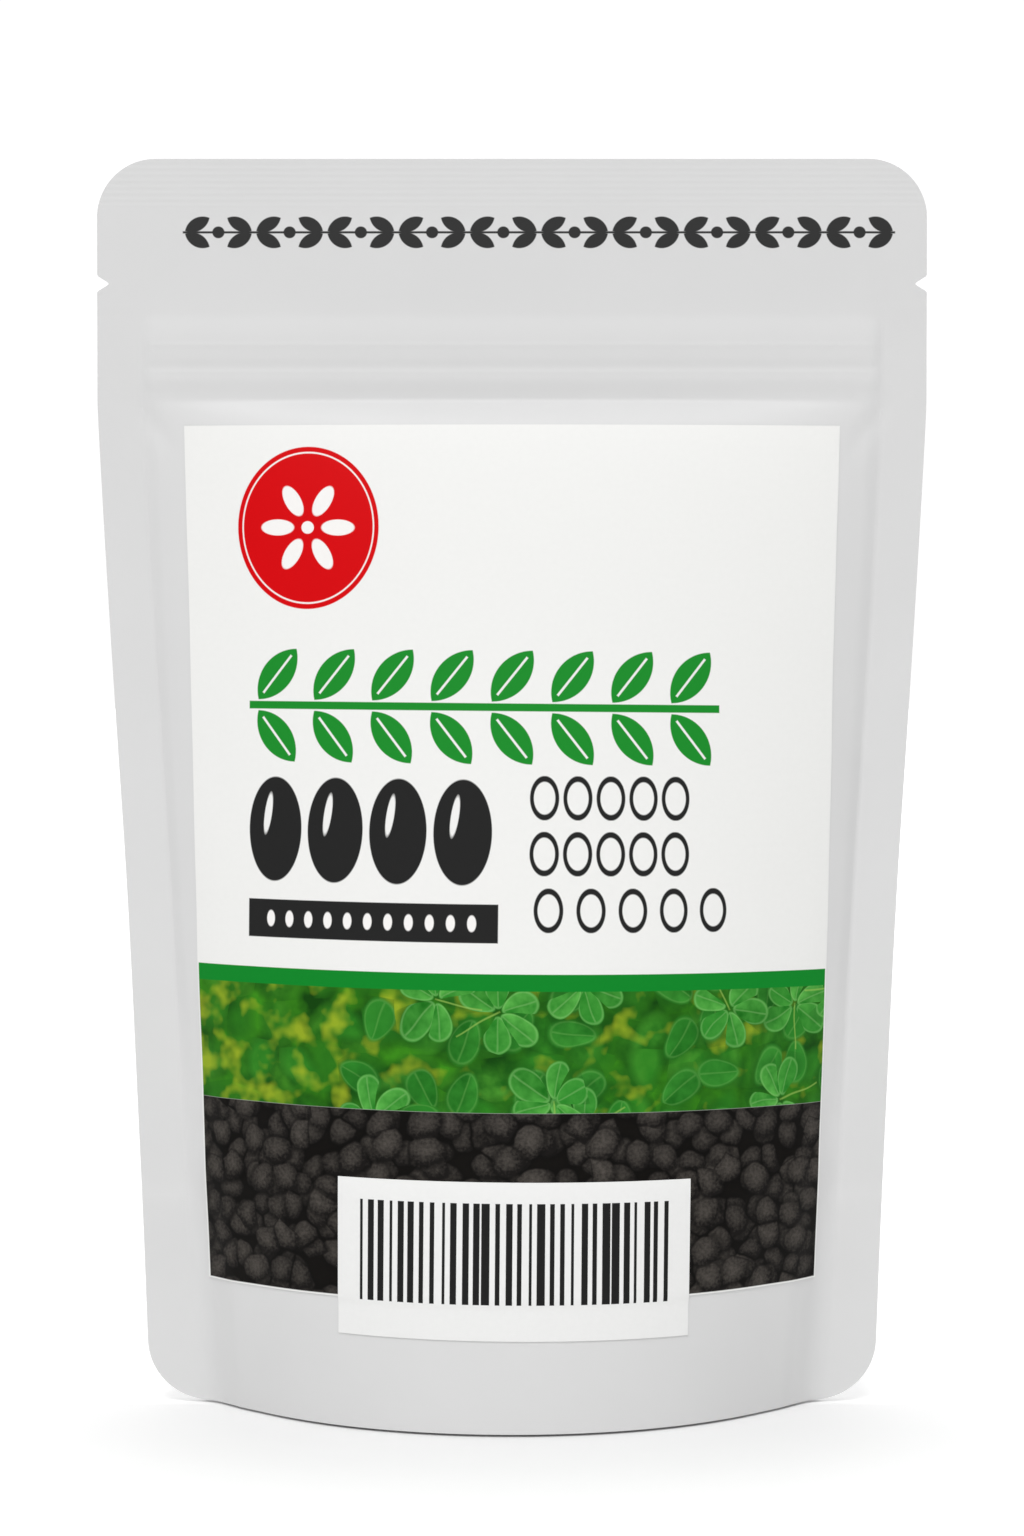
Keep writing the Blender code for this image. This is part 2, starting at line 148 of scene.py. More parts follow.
CREASES_TOP = 140 * MM
SWAY_DEPTH = 0.035 * MM
SWAY_LENGTH = 26 * MM
SWAY_FADES_FROM = 50 * MM
MOUTH_LINE = 158.4 * MM
MOUTH_LINE_RISE = 0.02 * MM
RIPPLE_LENGTHS = (0.7, 1.5)
RIPPLE_GAIN = 1.6


def ripples(u, v, draw, length, count=8):
    """Seeded soft waves of about this length, from -1 to 1. The gain makes up for waves that cancel."""
    total = 0.0
    for _ in range(count):
        turn = draw.uniform(0, math.tau)
        start = draw.uniform(0, math.tau)
        wave = length * draw.uniform(*RIPPLE_LENGTHS)
        total = total + np.sin(math.tau * (u * math.cos(turn) + v * math.sin(turn)) / wave + start)
    return total / count * RIPPLE_GAIN


def near(value, middle, reach):
    """1 at the middle, falling softly to 0 over about twice the reach."""
    return np.exp(-(((value - middle) / reach) ** 2))


def resting_rise(u, v):
    """How far the film's outer face lies from the middle of the pouch where it doesn't bulge."""
    seal_fold = SEAL_FOLD + SEAL_FOLD_GAIN * (1 - ramp(v, 0.0, SEAL_FOLD_TOP))
    seal = ramp(abs(u), CHAMBER_HALF - seal_fold, CHAMBER_HALF + 0.3 * MM)
    folded = 1 - ramp(v, GUSSET_FOLD + 2 * MM, GUSSET_FOLD + 10 * MM)
    chamber = CHAMBER_RISE + FOLDED_FILM_RISE * folded
    swell = near(abs(u), FOLD_MIDDLE, FOLD_REACH) * (1 - ramp(v, SWELL_FADES_FROM, SOFT_FOLD_TOP))
    chamber = chamber + FOLD_SWELL * swell
    mouth = ramp(v, ZIP_HIGH - 0.6 * MM, ZIP_HIGH + 5.5 * MM)
    chamber = chamber * (1 - mouth) + MOUTH_RISE * mouth
    sealed = SEAL_STACK + FILM + FOLDED_STACK * (1 - ramp(v, GUSSET_FOLD - 1 * MM, GUSSET_FOLD + 1 * MM))
    rise = chamber * (1 - seal) + sealed * seal
    top_seal = ramp(v, CRIMP_LOW - 4 * MM, CRIMP_LOW)
    rise = rise * (1 - top_seal) + (SEAL_STACK + FILM) * top_seal
    over_zip = ramp(v, ZIP_LOW - 0.2 * MM, ZIP_LOW + 2.2 * MM)
    over_zip = over_zip * (1 - ramp(v, ZIP_HIGH - 1.2 * MM, ZIP_HIGH + 4.5 * MM))
    over_zip = over_zip * (1 - ramp(abs(u), ZIP_HALF_LENGTH - 1.6 * MM, ZIP_HALF_LENGTH + 0.4 * MM))
    return rise + (ZIP_RISE - rise) * over_zip


def relief(u, v, draw):
    """The crimp, the zip's welts, the corner dimples and the creases."""
    crimp = ramp(v, CRIMP_LOW, CRIMP_LOW + 0.6 * MM) * (1 - ramp(v, CRIMP_HIGH - 0.5 * MM, CRIMP_HIGH))
    height = -CRIMP_DEPTH * crimp * (1 + np.cos(math.tau * v / CRIMP_PITCH))
    inside_zip = 1 - ramp(abs(u), ZIP_HALF_LENGTH - 1.2 * MM, ZIP_HALF_LENGTH + 0.2 * MM)
    for above, rise, reach in ZIP_LINES:
        height = height + rise * inside_zip * near(v, ZIP_GROOVE + above, reach)
    aside, above = abs(u) - DIMPLE[0], v - DIMPLE[1]
    from_corner = aside * DIMPLE_AXIS[0] + above * DIMPLE_AXIS[1]
    along_corner = aside * -DIMPLE_AXIS[1] + above * DIMPLE_AXIS[0]
    dimple = DIMPLE_DEPTH * near(from_corner, 0.0, DIMPLE_REACH[0])
    height = height - dimple * near(along_corner, 0.0, DIMPLE_REACH[1])
    beside_seal = near(abs(u) - CHAMBER_HALF, -CREASE_REACH, CREASE_REACH)
    beside_seal = beside_seal * ramp(-v, -CREASES_TOP, -CREASES_FULL_TO)
    height = height + CREASE_DEPTH * beside_seal * ripples(u, v * 0.8, draw, CREASE_LENGTH)
    sway = SWAY_DEPTH * ripples(u * 0.6, v, draw, SWAY_LENGTH)
    height = height + sway * (1 - ramp(abs(u), SWAY_FADES_FROM, SWAY_FADES_FROM + 6 * MM))
    return height + MOUTH_LINE_RISE * near(v, MOUTH_LINE, 0.8 * MM)


# %% [markdown]
# One function places any point of a sheet: the bend, then the rise, then the relief. The film, the label
# and the sticker all use it with their own small height, so paper follows every swell of the film beneath
# it.

# %% A place on the filled front
def level_normal(u, v):
    """The level direction out of the front film, so that level edges stay level."""
    step = 0.4 * MM
    ahead = bent(u + step, v)
    behind = bent(u - step, v)
    run, rise = ahead[0] - behind[0], ahead[1] - behind[1]
    length = np.hypot(run, rise)
    return -rise / length, -run / length


def on_front(u, v, height, draw):
    """Points this far out from the front film's outer face; u and v are grids."""
    across, bulge = bent(u, v)
    out_x, out_y = level_normal(u, v)
    lift = relief(u, v, draw) + height + FILM
    away = resting_rise(u, v) - FILM
    return np.stack([across + out_x * lift, -bulge - away + out_y * lift, v + 0 * across], -1)


# %% [markdown]
# Every sheet is a thin closed solid: an outer skin, an inner skin a film's thickness behind it, and a rim
# that closes the edge. A plane with Solidify could make it, but here both skins come from the same formula,
# so neither folds where the sheet bends tightly. The flat place of each point is kept as an attribute, in
# millimetres, for the print, and a flat map is kept for baking, most of it for the shown skin.

# %% Build a sheet from two grids of points
SHOWN_MAP = ((0.98, 0.92), (0.01, 0.07))
HIDDEN_MAP = ((0.98, 0.025), (0.01, 0.005))
RIM_MAP_LEFT = 0.01
RIM_MAP_LENGTH = 0.97
RIM_MAP_HEIGHTS = (0.040, 0.055, 0.055, 0.040)
SHARP_EDGE = math.radians(50)


def placed(name, data):
    """A new object in the scene."""
    made = bpy.data.objects.new(name, data)
    bpy.context.scene.collection.objects.link(made)
    return made


def wound(first, second, third, fourth):
    return np.stack([first, second, third, fourth], -1).reshape(-1, 4)


def two_skins(name, outer, inner, u, v):
    """A closed sheet between two grids of points, with the outer skin's faces looking outward."""
    rows, across = u.shape
    count = rows * across
    index = np.arange(count).reshape(rows, across)
    low_left, low_right = index[:-1, :-1], index[:-1, 1:]
    high_left, high_right = index[1:, :-1], index[1:, 1:]
    skin = wound(low_left, low_right, high_right, high_left)
    back = wound(low_left, high_left, high_right, low_right) + count
    rim = np.concatenate([index[0], index[1:, -1], index[-1, -2::-1], index[-2:0:-1, 0]])
    ahead = np.roll(rim, -1)
    edge = wound(rim, rim + count, ahead + count, ahead)
    faces = np.concatenate([skin, back, edge])
    points = np.concatenate([outer.reshape(-1, 3), inner.reshape(-1, 3)])
    mesh = bpy.data.meshes.new(name)
    mesh.from_pydata(points.tolist(), [], faces.tolist())
    flat = np.stack([u.ravel() / MM, v.ravel() / MM, np.zeros(count)], -1)
    place = mesh.attributes.new("flat_mm", "FLOAT_VECTOR", "POINT")
    place.data.foreach_set("vector", np.concatenate([flat, flat]).astype(np.float32).ravel())
    share = np.stack([(u - u.min()) / np.ptp(u), (v - v.min()) / np.ptp(v)], -1).reshape(-1, 2)
    shown, hidden = [share * size + corner for size, corner in (SHOWN_MAP, HIDDEN_MAP)]
    start = np.arange(len(rim)) / len(rim) * RIM_MAP_LENGTH + RIM_MAP_LEFT
    end = start + RIM_MAP_LENGTH / len(rim)
    strip = np.stack([start, start, end, end], -1)
    heights = np.broadcast_to(np.array(RIM_MAP_HEIGHTS), strip.shape)
    rim_map = np.stack([strip, heights], -1).reshape(-1, 2)
    corners = np.concatenate([shown[skin.ravel()], hidden[back.ravel() - count], rim_map])
    mesh.uv_layers.new(name="OFBake").data.foreach_set("uv", corners.astype(np.float32).ravel())
    mesh.shade_smooth()
    mesh.set_sharp_from_angle(angle=SHARP_EDGE)
    print(name, "faces", len(faces))
    return placed(name, mesh)


def joins(piece, nodes, finish):
    """A finished piece takes the place of CAD nodes and rides with the pouch."""
    piece.data.materials.append(finish)
    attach(piece, "root")
    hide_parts(*nodes)
    return piece


# %% [markdown]
# Shader colours are linear light, while the colours given here are sRGB hex values, so one function turns
# one into the other. Another adds a shader node with its settings and links.

# %% Colour and node helpers
def linear(hex_colour):
    """An sRGB hex colour as linear red, green, blue and alpha."""
    channels = [int(hex_colour[place : place + 2], 16) / 255 for place in (1, 3, 5)]
    return (*[c / 12.92 if c <= 0.04045 else ((c + 0.055) / 1.055) ** 2.4 for c in channels], 1.0)


def feed(tree, node, inputs):
    """Set a node's inputs, each to a value, a hex colour, a socket, or another node's result."""
    for key, value in inputs.items():
        if isinstance(value, str):
            value = linear(value)
        if isinstance(value, bpy.types.Node):
            value = next(socket for socket in value.outputs if socket.enabled)
        if isinstance(value, bpy.types.NodeSocket):
            tree.links.new(value, node.inputs[key])
        else:
            node.inputs[key].default_value = value


def add(tree, kind, inputs=(), **settings):
    """One new shader node of this kind, with its settings, and its inputs in order or by name."""
    made = tree.nodes.new("ShaderNode" + kind)
    for name, value in settings.items():
        setattr(made, name, value)
    feed(tree, made, inputs if isinstance(inputs, dict) else dict(enumerate(inputs)))
    return made


def new_finish(name, ior, roughness=0.5, sheen_level=0.5):
    """A material with its tree, its shader, and the sheet's flat place in millimetres."""
    made = bpy.data.materials.new(name)
    made.use_nodes = True
    tree = made.node_tree
    shader = tree.nodes["Principled BSDF"]
    feed(tree, shader, {"Roughness": roughness, "IOR": ior, "Specular IOR Level": sheen_level})
    place = add(tree, "Attribute", attribute_name="flat_mm").outputs["Vector"]
    return made, tree, shader, place


# %% [markdown]
# Ink is printed motif by motif. A motif is a distance in millimetres from its outline, negative inside. It
# becomes how much ink covers the paper, with an edge a tenth of a millimetre soft, as ink spreads in paper.
# Distances stay sharp at any size, where a picture would blur.

# %% Outlines, and ink laid inside them
INK_SPREAD = 0.06


def inked(tree, below, ink, outline, spread=INK_SPREAD, strength=1.0):
    """The print after ink is laid inside an outline."""
    cover = add(tree, "MapRange", [outline, spread, -spread, 0.0, strength])
    return add(tree, "Mix", {0: cover, 6: below, 7: ink}, data_type="RGBA")


def seen_from(tree, place, centre, turn=0.0, fold=False):
    """A motif's own axes: the place from its centre, turned in degrees, perhaps mirrored both ways."""
    moved = add(tree, "VectorMath", [place, (*centre, 0.0)], operation="SUBTRACT")
    if fold:
        moved = add(tree, "VectorMath", [moved], operation="ABSOLUTE")
    if turn:
        place_and_turn = {"Vector": moved, "Angle": -math.radians(turn)}
        moved = add(tree, "VectorRotate", place_and_turn, rotation_type="Z_AXIS")
    return moved


def in_row(tree, place, pitch):
    """The same axes over and over along a row."""
    parts = add(tree, "SeparateXYZ", [place]).outputs
    again = add(tree, "Math", [parts[0], pitch / 2, -pitch / 2], operation="WRAP")
    return add(tree, "CombineXYZ", [again, parts[1]])


def block(tree, place, half_width, half_height):
    """Distance from a rectangle's outline."""
    size = add(tree, "VectorMath", [place], operation="ABSOLUTE")
    size = add(tree, "VectorMath", [size, (half_width, half_height, 0.0)], operation="SUBTRACT")
    parts = add(tree, "SeparateXYZ", [size]).outputs
    return add(tree, "Math", [parts[0], parts[1]], operation="MAXIMUM")


def oval(tree, place, half_width, half_height):
    """Distance from an oval's outline."""
    size = add(tree, "VectorMath", [place, (half_width, half_height, 1.0)], operation="DIVIDE")
    size = add(tree, "VectorMath", [size], operation="LENGTH")
    size = add(tree, "Math", [size, 1.0], operation="SUBTRACT")
    return add(tree, "Math", [size, min(half_width, half_height)], operation="MULTIPLY")


def pointed_leaf(tree, place, half_length, half_width):
    """Distance from a leaf with two points, where two circles cross."""
    radius = (half_length**2 + half_width**2) / (2 * half_width)
    folded = add(tree, "VectorMath", [place], operation="ABSOLUTE")
    folded = add(tree, "VectorMath", [folded, (0.0, radius - half_width, 0.0)], operation="ADD")
    size = add(tree, "VectorMath", [folded], operation="LENGTH")
    return add(tree, "Math", [size, radius], operation="SUBTRACT")


def kept_in(tree, outline, frame_outline):
    """An outline cut off where it leaves a frame."""
    return add(tree, "Math", [outline, frame_outline], operation="MAXIMUM")


def line_along(tree, outline, inset, half_thickness):
    """A thin line this far inside an outline."""
    line = add(tree, "Math", [outline, inset], operation="ADD")
    line = add(tree, "Math", [line], operation="ABSOLUTE")
    return add(tree, "Math", [line, half_thickness], operation="SUBTRACT")


def turned_out(tree, outline):
    """The outline with its inside and outside changed over."""
    return add(tree, "Math", [outline, -1.0], operation="MULTIPLY")


# %% [markdown]
# The pouch film is a laminate of polyester and polypropylene with a matt lacquer, printed pale grey all
# over. Matt lacquer scatters light, so highlights are broad and weak. Its grain is about 0.03 mm, too fine
# to show, so it is drawn at 0.5 mm. Drawing the film leaves faint level streaks about 1.5 mm apart. Across
# the front, just under the top seal, runs a charcoal border of leaves and dots.

# %% Matt laminated film
FILM_GRAIN = 0.5
DRAW_STREAK = 1.5
BORDER_MIDDLE = (3.9, 169.4)
BORDER_HALF = 51.5
BORDER_PITCH = 10.3
BORDER_LEAF = (2.0, 0.95)
BORDER_LEAF_PLACE = (2.1, 1.15)
BORDER_LEAF_TURN = 28
BORDER_DOT = (0.85, 0.85)
BORDER_DOT_PLACE = (5.12, 0.0)
BORDER_STEM = 0.16
FILM_CLOUDS = 14.0
FILM_GLOSS = (0.42, 0.50)
SURFACE_BUMP = 0.006 * MM


def leaf_border(tree, place, below):
    """A stem with a pair of leaves each way and a dot between, over and over."""
    row = seen_from(tree, place, BORDER_MIDDLE)
    pair = seen_from(tree, in_row(tree, row, BORDER_PITCH), (0.0, 0.0), fold=True)
    leaves = pointed_leaf(tree, seen_from(tree, pair, BORDER_LEAF_PLACE, BORDER_LEAF_TURN), *BORDER_LEAF)
    dot = oval(tree, seen_from(tree, pair, BORDER_DOT_PLACE), *BORDER_DOT)
    stem = block(tree, row, BORDER_HALF, BORDER_STEM)
    ends = block(tree, row, BORDER_HALF, 3.0)
    for motif in (leaves, dot, stem):
        below = inked(tree, below, "#2A2A2A", kept_in(tree, motif, ends))
    return below


def matt_film(name, with_border):
    made, tree, shader, place = new_finish(name, ior=1.49, sheen_level=0.3)
    patches = add(tree, "TexNoise", {"Vector": place, "Scale": 1 / FILM_CLOUDS})
    colour = add(tree, "Mix", {0: patches, 6: "#D7D7D7", 7: "#DADADA"}, data_type="RGBA")
    if with_border:
        colour = leaf_border(tree, place, colour)
    streaks = add(tree, "VectorMath", [place, (0.02, 1 / DRAW_STREAK, 0.0)], operation="MULTIPLY")
    streaks = add(tree, "TexNoise", {"Vector": streaks, "Scale": 1.0})
    grain = add(tree, "TexNoise", {"Vector": place, "Scale": 1 / FILM_GRAIN, "Detail": 1.0})
    height = add(tree, "Math", [streaks, 0.6, grain], operation="MULTIPLY_ADD")
    bump = add(tree, "Bump", {"Height": height, "Strength": 0.25, "Distance": SURFACE_BUMP})
    gloss = add(tree, "MapRange", [streaks, 0.0, 1.0, *FILM_GLOSS])
    feed(tree, shader, {"Base Color": colour, "Normal": bump, "Roughness": gloss})
    return made


front_film = matt_film("matt laminated film, front", True)
plain_film = matt_film("matt laminated film, plain", False)

# %% [markdown]
# Each side panel is one sheet with rounded corners and a tear notch in each side. Its grid is fine where
# the relief is fine: over seven rows to a crimp rib, and close rows over the zip, the notches and the
# corners. A run of rows is given as its first place, its end and its step, in millimetres. A subdivided
# plane would need its corners and notches cut out of it later, but here the rows themselves follow them.

# %% Film panels
NOTCH_HEIGHT = 162.0 * MM
NOTCH_DEPTH = 1.9 * MM
NOTCH_OPENING = 1.15 * MM
NOTCH_TIP = 0.12 * MM
SEAL_AT_CORNER = 1.5 * MM
CHAMBER_SHARES = np.concatenate([np.linspace(0, 0.78, 30), np.linspace(0.78, 1, 28)[1:]])
SEAL_LINES = 12
CHAMBER_ROWS = (9.2, 136.0, 1.15)
DIMPLE_ROWS = (136.4, 146.0, 0.40)
ZIP_ROWS = (146.2, 159.0, 0.24)
NOTCH_ROWS = (159.6, 164.6, 0.23)
MOUTH_ROWS = (165.2, 172.0, 0.9)
CRIMP_ROWS = (172.2, 179.7, 0.12)


def half_width(v):
    """The flat sheet's half width at height v, with rounded corners and tear notches."""
    drop = np.maximum(CORNER_RADIUS - np.minimum(v, POUCH_HEIGHT - v), 0.0)
    rounded = POUCH_WIDTH / 2 - CORNER_RADIUS + np.sqrt(np.maximum(CORNER_RADIUS**2 - drop**2, 0.0))
    away = np.hypot(v - NOTCH_HEIGHT, NOTCH_TIP) / NOTCH_OPENING
    return rounded - NOTCH_DEPTH * np.maximum(1 - away, 0.0)


def sheet_columns(v):
    """The grid's places across at each height: shares of the chamber, then shares of the side seal."""
    edge = half_width(v)[:, None]
    chamber = np.minimum(CHAMBER_HALF, edge - SEAL_AT_CORNER)
    right = chamber * CHAMBER_SHARES[None, 1:]
    seal = chamber + (edge - chamber) * np.linspace(0, 1, SEAL_LINES + 1)[None, 1:]
    right = np.concatenate([right, seal], 1)
    return np.concatenate([-right[:, ::-1], 0 * edge, right], 1)


def panel_rows():
    arc = CORNER_RADIUS * (1 - np.cos(np.linspace(0, math.pi / 2, 20)))
    runs = [CHAMBER_ROWS, DIMPLE_ROWS, ZIP_ROWS, NOTCH_ROWS, MOUTH_ROWS, CRIMP_ROWS]
    runs = [np.arange(*run) * MM for run in runs]
    rows = np.unique(np.round(np.concatenate([arc, *runs, POUCH_HEIGHT - arc[:12]]), 6))
    return rows[np.concatenate([[True], np.diff(rows) > 0.02 * MM])]


def film_panel(name, seed, finish, turn):
    v = panel_rows()
    u = sheet_columns(v)
    v = np.repeat(v[:, None], u.shape[1], 1)
    outer = on_front(u, v, 0.0, random.Random(seed))
    inner = on_front(u, v, -FILM, random.Random(seed))
    if turn:
        outer, inner = outer * (-1, -1, 1), inner * (-1, -1, 1)
    piece = two_skins(name, outer, inner, u, v)
    return joins(piece, ["back_panel" if turn else "front_panel"], finish)


film_panel("film_front", 3, front_film, False)
film_panel("film_back", 8, plain_film, True)

# %% [markdown]
# The bottom sheet is folded up between the panels and opens to an arch as the pouch fills. Its rim is
# sealed to the panels' lower edges, which is what the pouch stands on. Radiating puckers at the ends show
# where it is pulled flat into the side seals. Cloth pinned at its rim could find the arch, but a curve that
# keeps the sheet's length from rim to fold is the same each time.

# %% Bottom gusset
FOLD_POWER = 1.535
ARCH_LINES = 72
GUSSET_FILM = 0.22 * MM
GUSSET_PLAY = 0.02 * MM
PUCKER_TURNS = 70
PUCKER_SLANT = 2.0
PUCKER_DEPTH = 0.22 * MM


def arch_height(bulge):
    """How high the fold stands where the foot is this wide: the sheet's length from rim to fold is kept."""
    return (GUSSET_FOLD**FOLD_POWER - bulge**FOLD_POWER) ** (1 / FOLD_POWER)


def gusset_grid(depth):
    """Points of the bottom sheet, this far under its upper skin."""
    angles = math.pi * (0.5 - 0.5 * np.cos(np.linspace(0, math.pi, 2 * ARCH_LINES + 1)))
    foot = sheet_columns(np.array([CORNER_RADIUS]))[0]
    arch = arch_height(bent(foot, 0.0)[1]) - depth
    height = np.maximum(arch[None, :] * np.sin(angles)[:, None], 0.0)
    share = foot / (POUCH_WIDTH / 2)
    ends = abs(share[None, :])
    puckers = np.sin(share[None, :] * PUCKER_TURNS + np.cos(angles)[:, None] * PUCKER_SLANT)
    puckers = puckers * ramp(ends, 0.45, 0.85)
    u = np.stack([sheet_columns(row)[np.arange(len(row)), np.arange(len(row))] for row in height])
    across, bulge = bent(u, height)
    reach = bulge + resting_rise(u, height) - FILM - GUSSET_PLAY - depth
    wave = PUCKER_DEPTH * puckers * np.sin(angles)[:, None] ** 2 * (1 - ramp(ends, 0.86, 0.95))
    along = np.where(height > 0, height - abs(wave), 0.0)
    points = np.stack([across, -reach * np.cos(angles)[:, None], along], -1)
    flat_v = np.repeat(angles[:, None], u.shape[1], 1) * GUSSET_FOLD * 2 / math.pi
    return points, u, flat_v


skin, gusset_u, gusset_v = gusset_grid(0.0)
hollow, _, _ = gusset_grid(GUSSET_FILM)
joins(two_skins("film_gusset", skin, hollow, gusset_u, gusset_v), ["bottom_gusset"], plain_film)

# %% [markdown]
# The label is coated paper: clay filler makes it bright and smooth with a slight satin, so it is lighter
# than the film and its highlights are a little tighter. Printed on it are a green stripe, a band of foliage
# and a band of dark seeds, a red oval seal, and plain ornaments of leaves and seeds above. A picture on a
# flat map could carry the print, but nodes draw it sharp at any distance and each colour stays easy to
# change.

# %% The label's layout, in millimetres on the flat sheet
LABEL_HALF_WIDTH = 47.4 * MM
LABEL_LOW = 18.2 * MM
LABEL_HIGH = 141.4 * MM
PRINT_TURN = -0.55
STRIPE_TOP = 63.5
STRIPE_LOW = 61.15
LEAVES_LOW = 44.25
WHITE_EDGE = 0.22
PAST_THE_LABEL = 200.0
BELOW_THE_LABEL = -60.0
NOT_SHOWN = 100.0
LEAF_GREEN = "#1E8A2D"
INK_BLACK = "#262626"
SEAL_RED = "#D2080F"
PRINT_WHITE = "#F2F0EE"


def across_label(tree, place, low, high):
    """Distance from a band right across the label."""
    return block(tree, seen_from(tree, place, (0.0, (low + high) / 2)), PAST_THE_LABEL, (high - low) / 2)


# %% [markdown]
# Leaflets and seeds in a printed picture lie at random, yet never the same twice. A Voronoi pattern gives
# each one its own cell, turn and tone. Noise bends the cells first, so no outline is a perfect oval and no
# cell's border is a straight cut.

# %% Scattered motifs
def scattered(tree, place, size, shift, unevenness, bend=0.0, bend_length=9.0):
    """A cell's own axes with a random turn, its three random numbers, its middle and its border distance."""
    moved = add(tree, "VectorMath", [place, (*shift, 0.0)], operation="ADD")
    if bend:
        noise = add(tree, "TexNoise", {"Vector": moved, "Scale": 1 / bend_length, "Detail": 1.0})
        push = [noise.outputs["Color"], (2 * bend, 2 * bend, 0.0), (-bend, -bend, 0.0)]
        pushed = add(tree, "VectorMath", push, operation="MULTIPLY_ADD")
        moved = add(tree, "VectorMath", [moved, pushed], operation="ADD")
    cells = {"Vector": moved, "Scale": 1 / size, "Randomness": unevenness}
    borders = add(tree, "TexVoronoi", cells, voronoi_dimensions="2D", feature="DISTANCE_TO_EDGE")
    borders = add(tree, "Math", [borders, size], operation="MULTIPLY")
    cells = add(tree, "TexVoronoi", cells, voronoi_dimensions="2D")
    middle = cells.outputs["Position"]
    at = add(tree, "VectorMath", [moved, middle], operation="SUBTRACT")
    chance = add(tree, "SeparateColor", [cells.outputs["Color"]]).outputs
    turn = add(tree, "Math", [chance[0], math.tau], operation="MULTIPLY")
    at = add(tree, "VectorRotate", {"Vector": at, "Angle": turn}, rotation_type="Z_AXIS")
    middle = add(tree, "VectorMath", [middle, (*shift, 0.0)], operation="SUBTRACT")
    return at, chance, middle, borders


# %% [markdown]
# The foliage is built as a printer sees a photograph: soft greens out of focus first, with sunlit yellow
# spots, then blurred leaflets, and last the sharp ones, in fans of five at the end of a thin stem. Leaflets
# are about 6.3 by 4.1 mm, egg-shaped, with a thin pale rim and a faint midrib. The left third stays out of
# focus.

# %% Foliage print
BLURRED_TO = -22.0
SHARP_FROM = -8.0
FAN_SECTOR = math.radians(60)
FAN_REACH = 3.75
LEAFLET = (3.15, 2.05)
LEAFLET_TAPER = 0.22
LEAFLET_SHADE = "#124A12"
LEAFLET_SHEEN = 2.4
MIDRIB = 0.84
RIM_INSET = 0.16
FAN_STEM = (3.2, 0.05)
FAN_STEM_GREEN = "#9CC45C"
FAN_GREENS = ("#1A6A18", "#2C862A", "#5AAE4A", "#92CA7C")
FAN_WOBBLE = 0.24
FAR_GREENS = ("#1A5412", "#2A741A", "#489026", "#6FA83C")
MID_GREENS = ("#1B5E14", "#2D7E20", "#549C34", "#7CB24C")
NEAR_GREENS = ("#1A6218", "#2A7E26", "#469C3A", "#7CBC62")
SUNLIT = "#A2B42A"
GROWTH_PATCH = 6.0
SUN_SPOT = 4.4


def leaflet(tree, at, below, half_length, half_width, tones, soft, hidden, lines=0.0):
    """One leaflet with its stem end at -X: a shadow, a body in two halves, a midrib and a rim."""
    parts = add(tree, "SeparateXYZ", [at]).outputs
    taper = add(tree, "Math", [parts[0], LEAFLET_TAPER / half_length, 1.0], operation="MULTIPLY_ADD")
    narrowed = add(tree, "Math", [parts[1], taper], operation="DIVIDE")
    egg = add(tree, "CombineXYZ", [parts[0], narrowed])
    outline = oval(tree, egg, half_length, half_width)
    outline = add(tree, "Math", [outline, hidden], operation="ADD")
    dark, light, pale = tones
    around = add(tree, "Math", [outline, 0.5], operation="SUBTRACT")
    below = inked(tree, below, LEAFLET_SHADE, around, 0.9, 0.45)
    halves = add(tree, "MapRange", [parts[1], -0.6, 0.9, 0.15, 0.65], interpolation_type="SMOOTHSTEP")
    sheen = add(tree, "TexNoise", {"Vector": at, "Scale": 1 / LEAFLET_SHEEN})
    sheen = add(tree, "MapRange", [sheen, 0.3, 0.7, -0.34, 0.44])
    lightness = add(tree, "Math", [halves, sheen], operation="ADD", use_clamp=True)
    body = add(tree, "Mix", {0: lightness, 6: dark, 7: light}, data_type="RGBA")
    if lines:
        body = inked(tree, body, pale, block(tree, egg, half_length * MIDRIB, 0.05), 0.14, lines)
        body = inked(tree, body, pale, line_along(tree, outline, RIM_INSET, 0.04), 0.15, lines)
    return inked(tree, below, body, outline, soft)


def leaf_tones(tree, chance, darkest, middling, lightest, rim):
    """Two greens drawn for one leaflet between three, and its rim's colour."""
    dark = add(tree, "Mix", {0: chance[1], 6: darkest, 7: middling}, data_type="RGBA")
    return dark, add(tree, "Mix", {0: chance[2], 6: middling, 7: lightest}, data_type="RGBA"), rim


def kept_out(tree, chance, middle, share_left, share_right):
    """A far distance for a cell that shows nothing, else 0."""
    across = add(tree, "SeparateXYZ", [middle]).outputs[0]
    share = add(tree, "MapRange", [across, BLURRED_TO, SHARP_FROM, share_left, share_right])
    empty = add(tree, "Math", [chance[2], share], operation="GREATER_THAN")
    return add(tree, "Math", [empty, NOT_SHOWN], operation="MULTIPLY")


